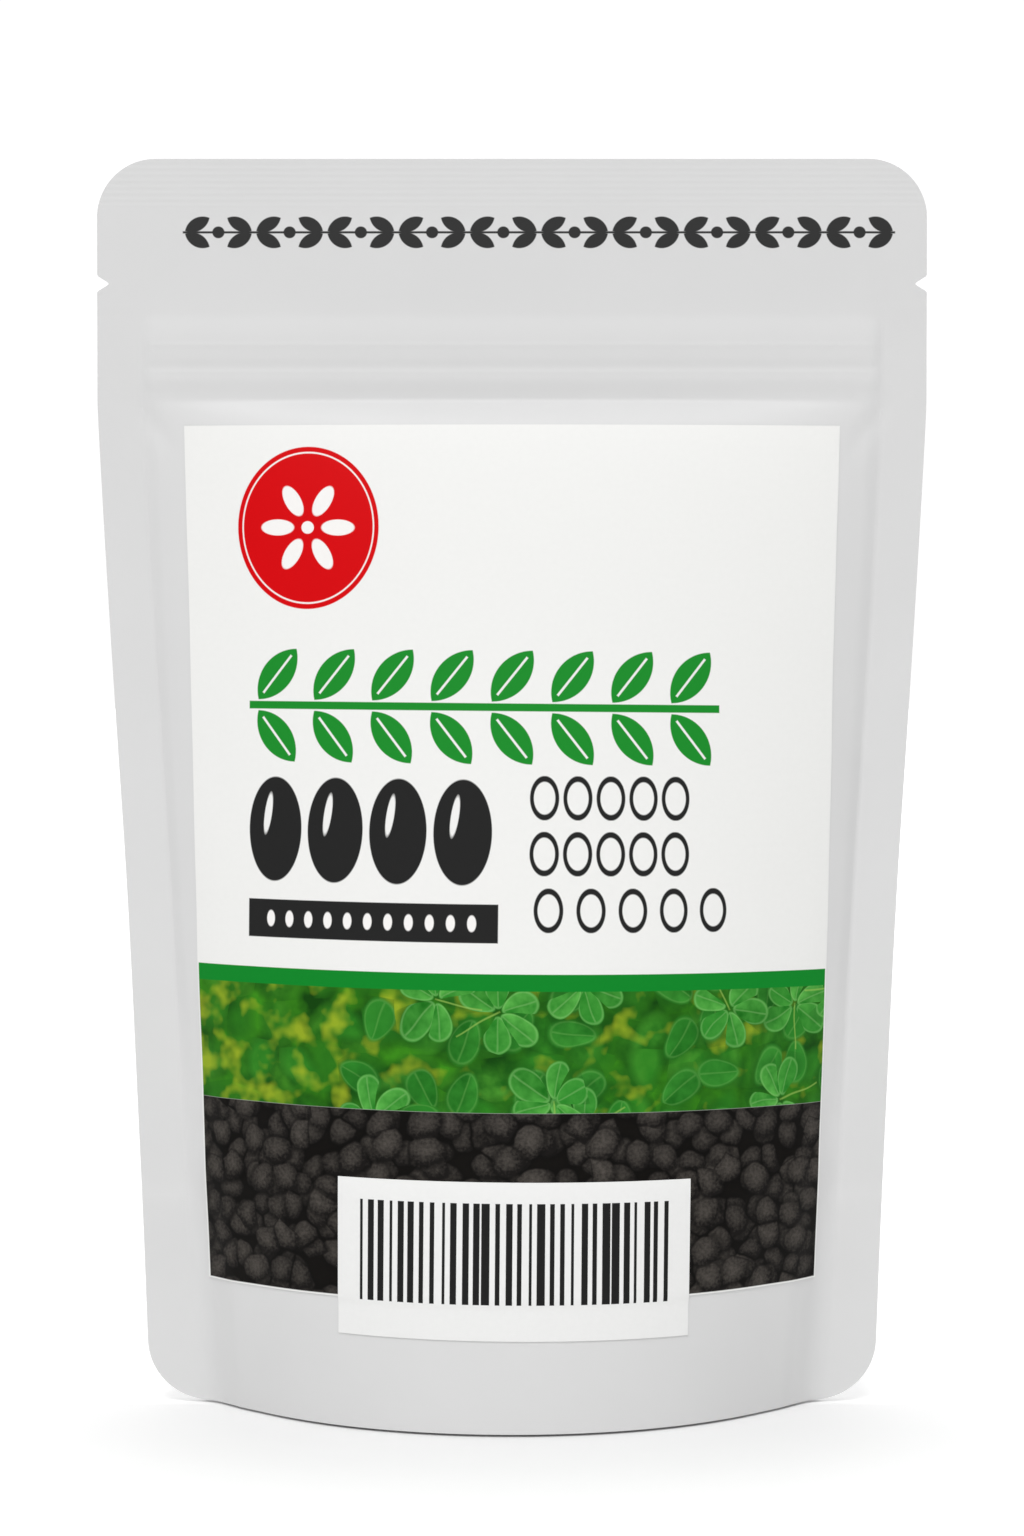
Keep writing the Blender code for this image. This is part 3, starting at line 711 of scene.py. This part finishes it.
def leaf_fan(tree, at, below, hidden, seed):
    """Leaflets spread round the end of a stem that comes from -X."""
    parts = add(tree, "SeparateXYZ", [at]).outputs
    stem = block(tree, seen_from(tree, at, (-3.0, 0.0)), *FAN_STEM)
    stem = add(tree, "Math", [stem, hidden], operation="ADD")
    below = inked(tree, below, FAN_STEM_GREEN, stem, 0.14, 0.9)
    angle = add(tree, "Math", [parts[1], parts[0]], operation="ARCTAN2")
    sector = add(tree, "Math", [angle, FAN_SECTOR], operation="DIVIDE")
    sector = add(tree, "Math", [sector], operation="ROUND")
    chance = add(tree, "Math", [sector, seed], operation="ADD")
    chance = add(tree, "TexWhiteNoise", {"W": chance}, noise_dimensions="1D")
    chance = add(tree, "SeparateColor", [chance.outputs["Color"]]).outputs
    turn = add(tree, "Math", [sector, -FAN_SECTOR], operation="MULTIPLY")
    turn = add(tree, "Math", [chance[0], FAN_WOBBLE, turn], operation="MULTIPLY_ADD")
    at = add(tree, "VectorRotate", {"Vector": at, "Angle": turn}, rotation_type="Z_AXIS")
    size = add(tree, "MapRange", [chance[1], 0.0, 1.0, 1.0, 1.3])
    at = add(tree, "VectorMath", [at, size], operation="MULTIPLY")
    stem_side = add(tree, "Math", [sector], operation="ABSOLUTE")
    stem_side = add(tree, "Math", [stem_side, 2.5], operation="GREATER_THAN")
    hidden = add(tree, "Math", [stem_side, NOT_SHOWN, hidden], operation="MULTIPLY_ADD")
    tones = leaf_tones(tree, chance, *FAN_GREENS)
    return leaflet(tree, seen_from(tree, at, (FAN_REACH, 0.0)), below, *LEAFLET, tones, 0.09, hidden, 0.45)


def leaf_layer(tree, place, below, size, shift, bend, half, greens, soft, shares, lines=0.0):
    """Leaflets over the whole band, each in its own cell; shares are how many show left and right."""
    at, chance, middle, _ = scattered(tree, place, size, shift, 0.5, bend)
    hidden = kept_out(tree, chance, middle, *shares)
    return leaflet(tree, at, below, *half, leaf_tones(tree, chance, *greens), soft, hidden, lines)


def foliage(tree, place):
    """The whole band: soft growth, blurred leaflets, loose leaflets, then sharp fans."""
    growth = add(tree, "TexNoise", {"Vector": place, "Scale": 1 / GROWTH_PATCH, "Detail": 3.0})
    growth = add(tree, "MapRange", [growth, 0.36, 0.62])
    colour = add(tree, "Mix", {0: growth, 6: "#12420C", 7: "#3A881A"}, data_type="RGBA")
    sunny = add(tree, "SeparateXYZ", [place]).outputs[0]
    sunny = add(tree, "MapRange", [sunny, -45.0, 0.0, 0.57, 0.64])
    spots = add(tree, "TexNoise", {"Vector": place, "Scale": 1 / SUN_SPOT})
    spots = add(tree, "Math", [sunny, spots], operation="SUBTRACT")
    colour = leaf_layer(tree, place, colour, 6.2, (3.1, 1.7), 1.2, (2.9, 1.9), FAR_GREENS, 1.3, (1.0, 0.9))
    colour = leaf_layer(tree, place, colour, 6.8, (11.3, 6.9), 1.2, (3.1, 2.0), MID_GREENS, 0.7, (0.35, 0.9))
    colour = inked(tree, colour, SUNLIT, spots, 0.09, 0.75)
    near_by = (6.9, (27.9, 15.2), 1.0, LEAFLET, NEAR_GREENS, 0.22, (0.06, 0.75), 0.35)
    colour = leaf_layer(tree, place, colour, *near_by)
    for size, shift, seed in ((15.0, (8.0, 3.4), 3.0), (14.2, (41.7, 12.6), 17.0)):
        at, chance, middle, _ = scattered(tree, place, size, shift, 0.45, 1.2)
        hidden = kept_out(tree, chance, middle, 0.0, 0.64)
        colour = leaf_fan(tree, at, colour, hidden, seed)
    return colour


# %% [markdown]
# The seed band shows a heap of charcoal seeds, three to five millimetres across, with black gaps between.
# Three layers of uneven ovals overlap, the middle one with a tenth of its seeds left out and the nearest
# with over a third. Each seed is lightest at the side toward the light, from above and left, and darkens
# toward its edge. A fine grain makes its outline uneven, and a finer speckle roughens its skin.

# %% Seed heap print
SEED_LAYERS = ((4.3, (13.0, 5.0), 0.72, 2.0), (4.2, (2.0, 31.0), 0.84, 0.90), (4.8, (37.0, 11.0), 0.96, 0.62))
SEED_ASPECT = 0.80
SEED_GAP = 0.16
SEED_LIGHT = (-0.05, 0.11, 0.0)
SEED_TONES = (-0.14, 0.14)
SEED_GRAIN = 0.9
SEED_SPECKLE = 0.45


def printed_seed(tree, place, below, grain, size, shift, bright, share):
    at, chance, middle, borders = scattered(tree, place, size, shift, 0.8, 0.5, 3.2)
    outline = oval(tree, at, size * 0.50, size * 0.50 * SEED_ASPECT)
    rough = add(tree, "Math", [grain, 0.5, -0.25], operation="MULTIPLY_ADD")
    outline = add(tree, "Math", [outline, rough], operation="ADD")
    outline = kept_in(tree, outline, add(tree, "Math", [SEED_GAP, borders], operation="SUBTRACT"))
    empty = add(tree, "Math", [chance[2], share], operation="GREATER_THAN")
    outline = add(tree, "Math", [empty, NOT_SHOWN, outline], operation="MULTIPLY_ADD")
    around = add(tree, "Math", [outline, 0.3], operation="SUBTRACT")
    below = inked(tree, below, "#0D0C0B", around, 0.5, 0.85)
    roundness = add(tree, "MapRange", [outline, 0.0, -1.5, 0.10, 0.62])
    skyward = add(tree, "VectorMath", [place, middle], operation="SUBTRACT")
    skyward = add(tree, "VectorMath", [skyward, SEED_LIGHT], operation="DOT_PRODUCT")
    light = add(tree, "Math", [roundness, skyward], operation="ADD")
    tone = add(tree, "MapRange", [chance[1], 0.0, 1.0, *SEED_TONES])
    light = add(tree, "Math", [light, tone], operation="ADD")
    skin = add(tree, "TexNoise", {"Vector": place, "Scale": 1 / SEED_SPECKLE})
    skin = add(tree, "MapRange", [skin, 0.3, 0.7, -0.20, 0.22])
    light = add(tree, "Math", [light, skin], operation="ADD")
    light = add(tree, "Math", [light, bright], operation="MULTIPLY", use_clamp=True)
    body = add(tree, "Mix", {0: light, 6: "#191716", 7: "#55504B"}, data_type="RGBA")
    return inked(tree, below, body, outline, 0.13)


def seed_heap_print(tree, place):
    grain = add(tree, "TexNoise", {"Vector": place, "Scale": 1 / SEED_GRAIN, "Detail": 3.0})
    colour = "#12100E"
    for layer in SEED_LAYERS:
        colour = printed_seed(tree, place, colour, grain, *layer)
    return colour


# %% [markdown]
# The upper label carries a green garland, a row of bold black seeds, three thin rows of open seeds, and a
# black bar with a fine white chain. Plain ornaments like these give a label its weight of colour. Their
# sizes are half widths and half heights in millimetres.

# %% Ornaments
GARLAND = (-4.57, 100.8)
GARLAND_PITCH = 8.45
GARLAND_HALF = 4 * GARLAND_PITCH
GARLAND_REACH = 8.2
GARLAND_STEM = 0.55
GARLAND_LEAF = (4.6, 2.25)
GARLAND_LEAF_UP = 4.4
GARLAND_LEAF_TURN = 52
GARLAND_VEIN = (3.4, 0.16)
SEED_ROW = (-20.55, 83.2)
SEED_ROW_PITCH = 9.05
SEED_ROW_HALF = 2 * SEED_ROW_PITCH
BOLD_SEED = (4.05, 7.4)
GLINT = (0.55, 2.9)
GLINT_PLACE = (-1.1, 2.2)
GLINT_TURN = -8
THIN_ROWS = ((13.5, 88.1, 11.55), (13.45, 80.3, 11.5), (16.55, 72.4, 14.6))
THIN_SEEDS = 5
THIN_SEED = (1.75, 2.7)
THIN_SEED_LINE = 0.27
BLACK_BAR = (-20.05, 70.5)
BLACK_BAR_HALF = (18.1, 2.7)
BEAD = (0.62, 1.15)
BEAD_PITCH = 2.9
BEAD_CHAIN_HALF = (15.9, 1.5)
RED_SEAL = (-29.9, 126.2)
RED_SEAL_HALF = (10.3, 11.7)
RING_INSET = 0.75
RING_LINE = 0.10
PETAL = (2.4, 1.15)
PETAL_OUT = 4.4
STAR_MIDDLE = (0.9, 0.9)


def garland(tree, place, below):
    """A stem with slanting leaves above and below, each split by its vein."""
    row = seen_from(tree, place, GARLAND)
    parts = add(tree, "SeparateXYZ", [row]).outputs
    mirrored = add(tree, "Math", [parts[1]], operation="ABSOLUTE")
    folded = add(tree, "CombineXYZ", [parts[0], mirrored])
    folded = in_row(tree, seen_from(tree, folded, (GARLAND_PITCH / 2, 0.0)), GARLAND_PITCH)
    slanting = seen_from(tree, folded, (0.0, GARLAND_LEAF_UP), GARLAND_LEAF_TURN)
    vein = turned_out(tree, block(tree, slanting, *GARLAND_VEIN))
    leaves = kept_in(tree, pointed_leaf(tree, slanting, *GARLAND_LEAF), vein)
    ends = block(tree, row, GARLAND_HALF, GARLAND_REACH)
    for motif in (leaves, block(tree, row, GARLAND_HALF, GARLAND_STEM)):
        below = inked(tree, below, LEAF_GREEN, kept_in(tree, motif, ends))
    return below


def bold_seeds(tree, place, below):
    """Black seeds side by side, each with a thin bright glint."""
    row = seen_from(tree, place, SEED_ROW)
    each = in_row(tree, seen_from(tree, row, (SEED_ROW_PITCH / 2, 0.0)), SEED_ROW_PITCH)
    glint = turned_out(tree, oval(tree, seen_from(tree, each, GLINT_PLACE, GLINT_TURN), *GLINT))
    seeds = kept_in(tree, oval(tree, each, *BOLD_SEED), glint)
    ends = block(tree, row, SEED_ROW_HALF, 7.7)
    return inked(tree, below, INK_BLACK, kept_in(tree, seeds, ends))


def open_seeds(tree, place, below):
    """Rows of seeds in outline only."""
    for across, up, half in THIN_ROWS:
        row = seen_from(tree, place, (across, up))
        rings = oval(tree, in_row(tree, row, 2 * half / THIN_SEEDS), *THIN_SEED)
        rings = line_along(tree, rings, 0.0, THIN_SEED_LINE)
        below = inked(tree, below, INK_BLACK, kept_in(tree, rings, block(tree, row, half, 3.1)))
    return below


def black_bar(tree, place, below):
    """A black bar with a chain of fine white beads."""
    row = seen_from(tree, place, BLACK_BAR)
    below = inked(tree, below, INK_BLACK, block(tree, row, *BLACK_BAR_HALF))
    beads = oval(tree, in_row(tree, row, BEAD_PITCH), *BEAD)
    return inked(tree, below, PRINT_WHITE, kept_in(tree, beads, block(tree, row, *BEAD_CHAIN_HALF)))


def red_seal(tree, place, below):
    """An oval seal with a thin white ring and a star of six white seeds."""
    at = seen_from(tree, place, RED_SEAL)
    whole = oval(tree, at, *RED_SEAL_HALF)
    below = inked(tree, below, SEAL_RED, whole)
    below = inked(tree, below, PRINT_WHITE, line_along(tree, whole, RING_INSET, RING_LINE))
    for turn in (0, 60, 120):
        folded = seen_from(tree, seen_from(tree, at, (0.0, 0.0), turn), (0.0, 0.0), fold=True)
        petals = oval(tree, seen_from(tree, folded, (PETAL_OUT, 0.0)), *PETAL)
        below = inked(tree, below, PRINT_WHITE, petals)
    return inked(tree, below, PRINT_WHITE, oval(tree, at, *STAR_MIDDLE))


# %% [markdown]
# Everything is printed in one pass and the label is then die-cut, so the print stops a hair inside the edge
# and a thin white line shows round it. The print itself sits half a degree askew on the pouch.

# %% Coated label paper
PAPER_FIBRE = 0.8


def paper_stock(name, roughness, dark, light):
    """Unprinted paper: its material, and its colour, which fibre makes a little cloudy."""
    made, tree, shader, place = new_finish(name, ior=1.50, roughness=roughness, sheen_level=0.05)
    fibre = add(tree, "TexNoise", {"Vector": place, "Scale": 1 / PAPER_FIBRE, "Detail": 3.0})
    bump = add(tree, "Bump", {"Height": fibre, "Strength": 0.2, "Distance": SURFACE_BUMP})
    feed(tree, shader, {"Normal": bump})
    return made, tree, shader, place, add(tree, "Mix", {0: fibre, 6: dark, 7: light}, data_type="RGBA")


def coated_paper():
    made, tree, shader, place, paper = paper_stock("coated label paper", 0.50, "#EBEBE9", "#EEEEEC")
    askew = seen_from(tree, place, (0.0, STRIPE_TOP), PRINT_TURN)
    upright = add(tree, "VectorMath", [askew, (0.0, STRIPE_TOP, 0.0)], operation="ADD")
    colour = paper
    for ornament in (garland, bold_seeds, open_seeds, black_bar, red_seal):
        colour = ornament(tree, upright, colour)
    bands = (
        (foliage(tree, upright), LEAVES_LOW, STRIPE_TOP),
        ("#10842A", STRIPE_LOW, STRIPE_TOP),
        (seed_heap_print(tree, upright), BELOW_THE_LABEL, LEAVES_LOW),
    )
    for picture, low, high in bands:
        colour = inked(tree, colour, picture, across_label(tree, upright, low, high))
    middle = (0.0, (LABEL_LOW + LABEL_HIGH) / 2 / MM)
    half_height = (LABEL_HIGH - LABEL_LOW) / 2 / MM - WHITE_EDGE
    printed = block(tree, seen_from(tree, place, middle), LABEL_HALF_WIDTH / MM - WHITE_EDGE, half_height)
    colour = inked(tree, paper, colour, printed)
    feed(tree, shader, {"Base Color": colour})
    print("label shader nodes", len(tree.nodes))
    return made


label_paper = coated_paper()

# %% [markdown]
# A label is die-cut from a roll and pressed on by hand, so it follows the film everywhere. It is a sheet
# 0.12 mm thick laid a hair's breadth over the film. Low down it bridges the soft fold, so its edges lie
# farther out there.

# %% The front label
PAPER = 0.12 * MM
GLUE_LINE = 0.04 * MM
LABEL_GRID = 0.55 * MM
LABEL_SPREAD = 0.0646
SPREAD_TOP = 125 * MM


def stuck_sheet(name, u, v, height, thickness, spread=1.0):
    """A paper sheet over the film. The height and the spread across may change over the sheet."""
    outer = on_front(u * spread, v, height + thickness, random.Random(3))
    inner = on_front(u * spread, v, height, random.Random(3))
    return two_skins(name, outer, inner, u, v)


def flat_sheet(left, right, low, high, step):
    across = np.linspace(left, right, int((right - left) / step) + 1)
    up = np.linspace(low, high, int((high - low) / step) + 1)
    return np.meshgrid(across, up)


label_u, label_v = flat_sheet(-LABEL_HALF_WIDTH, LABEL_HALF_WIDTH, LABEL_LOW, LABEL_HIGH, LABEL_GRID)
label_spread = 1 + LABEL_SPREAD * (1 - ramp(label_v, 0.0, SPREAD_TOP))
label = stuck_sheet("paper_label", label_u, label_v, GLUE_LINE, PAPER, label_spread)
joins(label, ["front_label"], label_paper)

# %% [markdown]
# The sticker is thermal paper with bars burnt black by a printer head. The bars code nothing: white noise
# gives each bar one of four widths and moves it a little aside, which looks like a real code.

# %% The bar sticker
STICKER_LEFT = -25.05 * MM
STICKER_RIGHT = 25.6 * MM
STICKER_LOW = 12.85 * MM
STICKER_HIGH = 34.8 * MM
STICKER_TURN = 0.45
STICKER_GRID = 0.45 * MM
BAR_STEP = 1.50
BAR_THIN = 0.40
BAR_THICK = 1.15
BAR_DRIFT = 0.15
BARS_LEFT, BARS_RIGHT = -22.45, 22.9
BARS_LOW, BARS_HIGH = 17.85, 31.9
BAR_DRAW = 7.0


def thermal_paper():
    made, tree, shader, place, paper = paper_stock("thermal sticker paper", 0.55, "#E9E9E8", "#EDEDEC")
    middle = ((BARS_LEFT + BARS_RIGHT) / 2, (BARS_LOW + BARS_HIGH) / 2)
    at = seen_from(tree, place, middle, -STICKER_TURN)
    inside = block(tree, at, (BARS_RIGHT - BARS_LEFT) / 2, (BARS_HIGH - BARS_LOW) / 2)
    stepped = seen_from(tree, at, (BAR_STEP / 2, 0.0))
    across = add(tree, "SeparateXYZ", [stepped]).outputs[0]
    step = add(tree, "Math", [across, BAR_STEP], operation="DIVIDE")
    step = add(tree, "Math", [step], operation="ROUND")
    chance = add(tree, "Math", [step, BAR_DRAW], operation="ADD")
    chance = add(tree, "TexWhiteNoise", {"W": chance}, noise_dimensions="1D")
    chance = add(tree, "SeparateColor", [chance.outputs["Color"]]).outputs
    aside = add(tree, "MapRange", [chance[0], 0.0, 1.0, -BAR_DRIFT, BAR_DRIFT])
    each = add(tree, "SeparateXYZ", [in_row(tree, stepped, BAR_STEP)]).outputs[0]
    aside = add(tree, "Math", [each, aside], operation="SUBTRACT")
    aside = add(tree, "Math", [aside], operation="ABSOLUTE")
    widths = [chance[1], 0.0, 1.0, BAR_THIN / 2, BAR_THICK / 2]
    widths = add(tree, "MapRange", widths, interpolation_type="STEPPED")
    feed(tree, widths, {"Steps": 3.0})
    bars = add(tree, "Math", [aside, widths], operation="SUBTRACT")
    colour = inked(tree, paper, "#222222", kept_in(tree, bars, inside), 0.03)
    feed(tree, shader, {"Base Color": colour})
    return made


def turned(u, v, degrees):
    """A flat sheet turned about its own middle."""
    angle = math.radians(degrees)
    mid_u, mid_v = (u.min() + u.max()) / 2, (v.min() + v.max()) / 2
    new_u = mid_u + (u - mid_u) * math.cos(angle) + (v - mid_v) * math.sin(angle)
    return new_u, mid_v + (v - mid_v) * math.cos(angle) - (u - mid_u) * math.sin(angle)


sticker_flat = flat_sheet(STICKER_LEFT, STICKER_RIGHT, STICKER_LOW, STICKER_HIGH, STICKER_GRID)
sticker_u, sticker_v = turned(*sticker_flat, STICKER_TURN)
step_down = ramp(sticker_v, LABEL_LOW - 1.1 * MM, LABEL_LOW + 0.1 * MM)
sticker_height = GLUE_LINE + (PAPER + GLUE_LINE) * step_down
sticker = stuck_sheet("bar_sticker_paper", sticker_u, sticker_v, sticker_height, PAPER)
joins(sticker, ["bar_sticker"], thermal_paper())

# %% [markdown]
# The zip is extruded polyethylene: milky, soft and slightly glossy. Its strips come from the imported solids,
# squeezed to the true gap between the film panels, with Bevel for the rounded edges that extrusion leaves.

# %% Zip strips
ZIP_SQUEEZE = 0.37
EXTRUDED_EDGE = 0.06 * MM
EXTRUDED_FLOW = (20.0, 2500.0, 2500.0)


def copied(node, name, squeeze=1.0):
    """An object with a copy of a CAD node's mesh, perhaps squeezed from front to back."""
    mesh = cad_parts[node].data.copy()
    mesh.materials.clear()
    places = np.empty(len(mesh.vertices) * 3, np.float32)
    mesh.vertices.foreach_get("co", places)
    places = places.reshape(-1, 3) * (1.0, squeeze, 1.0)
    mesh.vertices.foreach_set("co", places.astype(np.float32).ravel())
    print(name, "faces", len(mesh.polygons))
    return placed(name, mesh)


def milky_polyethylene():
    made, tree, shader, _ = new_finish("milky polyethylene", ior=1.51, roughness=0.32)
    at = add(tree, "TexCoord").outputs["Object"]
    flow = add(tree, "VectorMath", [at, EXTRUDED_FLOW], operation="MULTIPLY")
    flow = add(tree, "TexNoise", {"Vector": flow, "Scale": 1.0})
    milk = add(tree, "Mix", {0: flow, 6: "#DDE0E0", 7: "#E6E8E8"}, data_type="RGBA")
    feed(tree, shader, {"Base Color": milk, "Subsurface Weight": 0.15})
    return made


zip_plastic = milky_polyethylene()
for node, name in (("zip_tongue_strip", "zip_tongue"), ("zip_groove_strip", "zip_groove")):
    piece = copied(node, name, ZIP_SQUEEZE)
    rounded = piece.modifiers.new("rounded edges", "BEVEL")
    rounded.width = EXTRUDED_EDGE
    rounded.segments = 2
    joins(piece, [node], zip_plastic)

# %% [markdown]
# The seeds lie sealed inside, a heap on the gusset's arch. Their hulls are dry, brown-black and faintly
# ribbed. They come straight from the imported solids, because nobody sees them while the pouch is shut.

# %% Seeds
HULL_MOTTLE = 3 * MM
HULL_BUMP = 0.2 * MM


def dry_seed_hull():
    made, tree, shader, _ = new_finish("dry seed hull", ior=1.45, roughness=0.6)
    at = add(tree, "TexCoord").outputs["Object"]
    mottle = add(tree, "TexNoise", {"Vector": at, "Scale": 1 / HULL_MOTTLE, "Detail": 4.0})
    browns = add(tree, "Mix", {0: mottle, 6: "#231C18", 7: "#4A3A30"}, data_type="RGBA")
    bump = add(tree, "Bump", {"Height": mottle, "Strength": 0.5, "Distance": HULL_BUMP})
    feed(tree, shader, {"Base Color": browns, "Normal": bump})
    return made


joins(copied("seeds", "seed_heap"), ["seeds"], dry_seed_hull())

# %% [markdown]
# The pouch stands in a bright white studio. Its floor could be lit by many lamps, but a weak glow does it:
# least round the foot, where a soft shadow stays, and more behind and far off, where the floor turns pure
# white.

# %% The floor
FLOOR_FRONT = -0.35
FLOOR_BACK = 20.0
FLOOR_LEVEL = -0.35 * MM
FLOOR_WIDTH = 40.0
FOOT_STRETCH = (0.7, 1.0, 1.0)
UNDER_FOOT = (0.0235, 0.0265)
FOOT_SHADOW = (0.025, 0.07)
FOOT_GLOW = (0.06, 0.23)
FAR_OFF = (0.3, 1.5)
BEHIND = (-0.003, 0.003)
WHITE_GLOW = (0.0, 0.22)
bpy.ops.mesh.primitive_plane_add(size=1, location=(0, (FLOOR_FRONT + FLOOR_BACK) / 2, FLOOR_LEVEL))
floor = bpy.context.object
floor.name = "floor"
floor.scale = (FLOOR_WIDTH, FLOOR_BACK - FLOOR_FRONT, 1.0)
floor_paint = bpy.data.materials.new("white studio floor")
floor_paint.use_nodes = True
paint = floor_paint.node_tree
on_floor = add(paint, "NewGeometry").outputs["Position"]
from_foot = add(paint, "VectorMath", [on_floor, FOOT_STRETCH], operation="MULTIPLY")
from_foot = add(paint, "VectorMath", [from_foot], operation="LENGTH")
glow = add(paint, "MapRange", [from_foot, *FOOT_SHADOW, *FOOT_GLOW])
beyond_foot = add(paint, "MapRange", [from_foot, *UNDER_FOOT])
far_off = add(paint, "MapRange", [from_foot, *FAR_OFF, *WHITE_GLOW])
behind = add(paint, "SeparateXYZ", [on_floor]).outputs[1]
behind = add(paint, "MapRange", [behind, *BEHIND, *WHITE_GLOW])
far_off = add(paint, "Math", [far_off, behind], operation="ADD")
glow = add(paint, "Math", [glow, beyond_foot, far_off], operation="MULTIPLY_ADD")
floor_look = {"Base Color": "#EAEAEA", "Roughness": 0.7, "Emission Strength": glow}
feed(paint, paint.nodes["Principled BSDF"], {**floor_look, "Emission Color": (1, 1, 1, 1)})
floor.data.materials.append(floor_paint)
print("floor from", FLOOR_FRONT, "to", FLOOR_BACK, "m")

# %% [markdown]
# A studio has white panels above, in front and behind, and dark gaps at the sides, which shade the film
# where it leans. Planes that glow could stand for them, but a world that is bright that way needs no
# geometry. The camera sees plain white behind the pouch.

# %% The white surround
WHITE_BACKGROUND = 1.05
BOTH_WAYS = (0.02, 0.60, 0.34)
ONE_WAY = (-0.02, 0.20, 0.34)
world = bpy.data.worlds.new("white surround")
bpy.context.scene.world = world
world.use_nodes = True
sky = world.node_tree
toward = add(sky, "TexCoord").outputs["Generated"]
even = add(sky, "VectorMath", [toward], operation="ABSOLUTE")
even = add(sky, "VectorMath", [even, BOTH_WAYS], operation="DOT_PRODUCT")
uneven = add(sky, "VectorMath", [toward, ONE_WAY], operation="DOT_PRODUCT")
soft = add(sky, "Math", [even, uneven], operation="ADD")
ray = add(sky, "LightPath").outputs["Is Camera Ray"]
strength = add(sky, "Mix", {0: ray, 2: soft, 3: WHITE_BACKGROUND})
feed(sky, sky.nodes["Background"], {"Color": (1, 1, 1, 1), "Strength": strength})

# %% [markdown]
# One large light stands in front and above. A point lamp would draw hard shadows, while an area light shows
# the film's swells with soft ones.

# %% The soft light
POUCH_MIDDLE = Vector((0, 0, 0.09))
LIGHT_PLACE = Vector((-0.09, -0.70, 1.05))
LIGHT_SIZE = 0.6
LIGHT_POWER = 7.5
light = bpy.data.lights.new("key", "AREA")
light.shape = "SQUARE"
light.size = LIGHT_SIZE
light.energy = LIGHT_POWER
lamp = placed("key", light)
lamp.location = LIGHT_PLACE
lamp.rotation_euler = (POUCH_MIDDLE - LIGHT_PLACE).to_track_quat("-Z", "Y").to_euler()
print("light at", round((POUCH_MIDDLE - LIGHT_PLACE).length, 2), "m from the pouch")

# %% [markdown]
# The camera is level with the pouch's upper half and looks slightly down. Its lens is worked out from a
# focal length in pixels of the whole picture.

# %% The camera
EYE_HEIGHT = 0.1031
EYE_DISTANCE = 0.500
EYE_TILT = math.radians(1.28)
IMAGE_HEIGHT = 1536
FOCAL_PIXELS = 3445
SENSOR_HEIGHT = 36
camera_data = bpy.data.cameras.new("camera")
camera_data.sensor_fit = "VERTICAL"
camera_data.sensor_height = SENSOR_HEIGHT
camera_data.lens = FOCAL_PIXELS / IMAGE_HEIGHT * SENSOR_HEIGHT
camera = placed("camera", camera_data)
camera.location = (0, -EYE_DISTANCE, EYE_HEIGHT)
camera.rotation_euler = (math.pi / 2 - EYE_TILT, 0, 0)
bpy.context.scene.camera = camera
bpy.context.scene.view_settings.view_transform = "Standard"
print("lens in mm", round(camera_data.lens, 2))
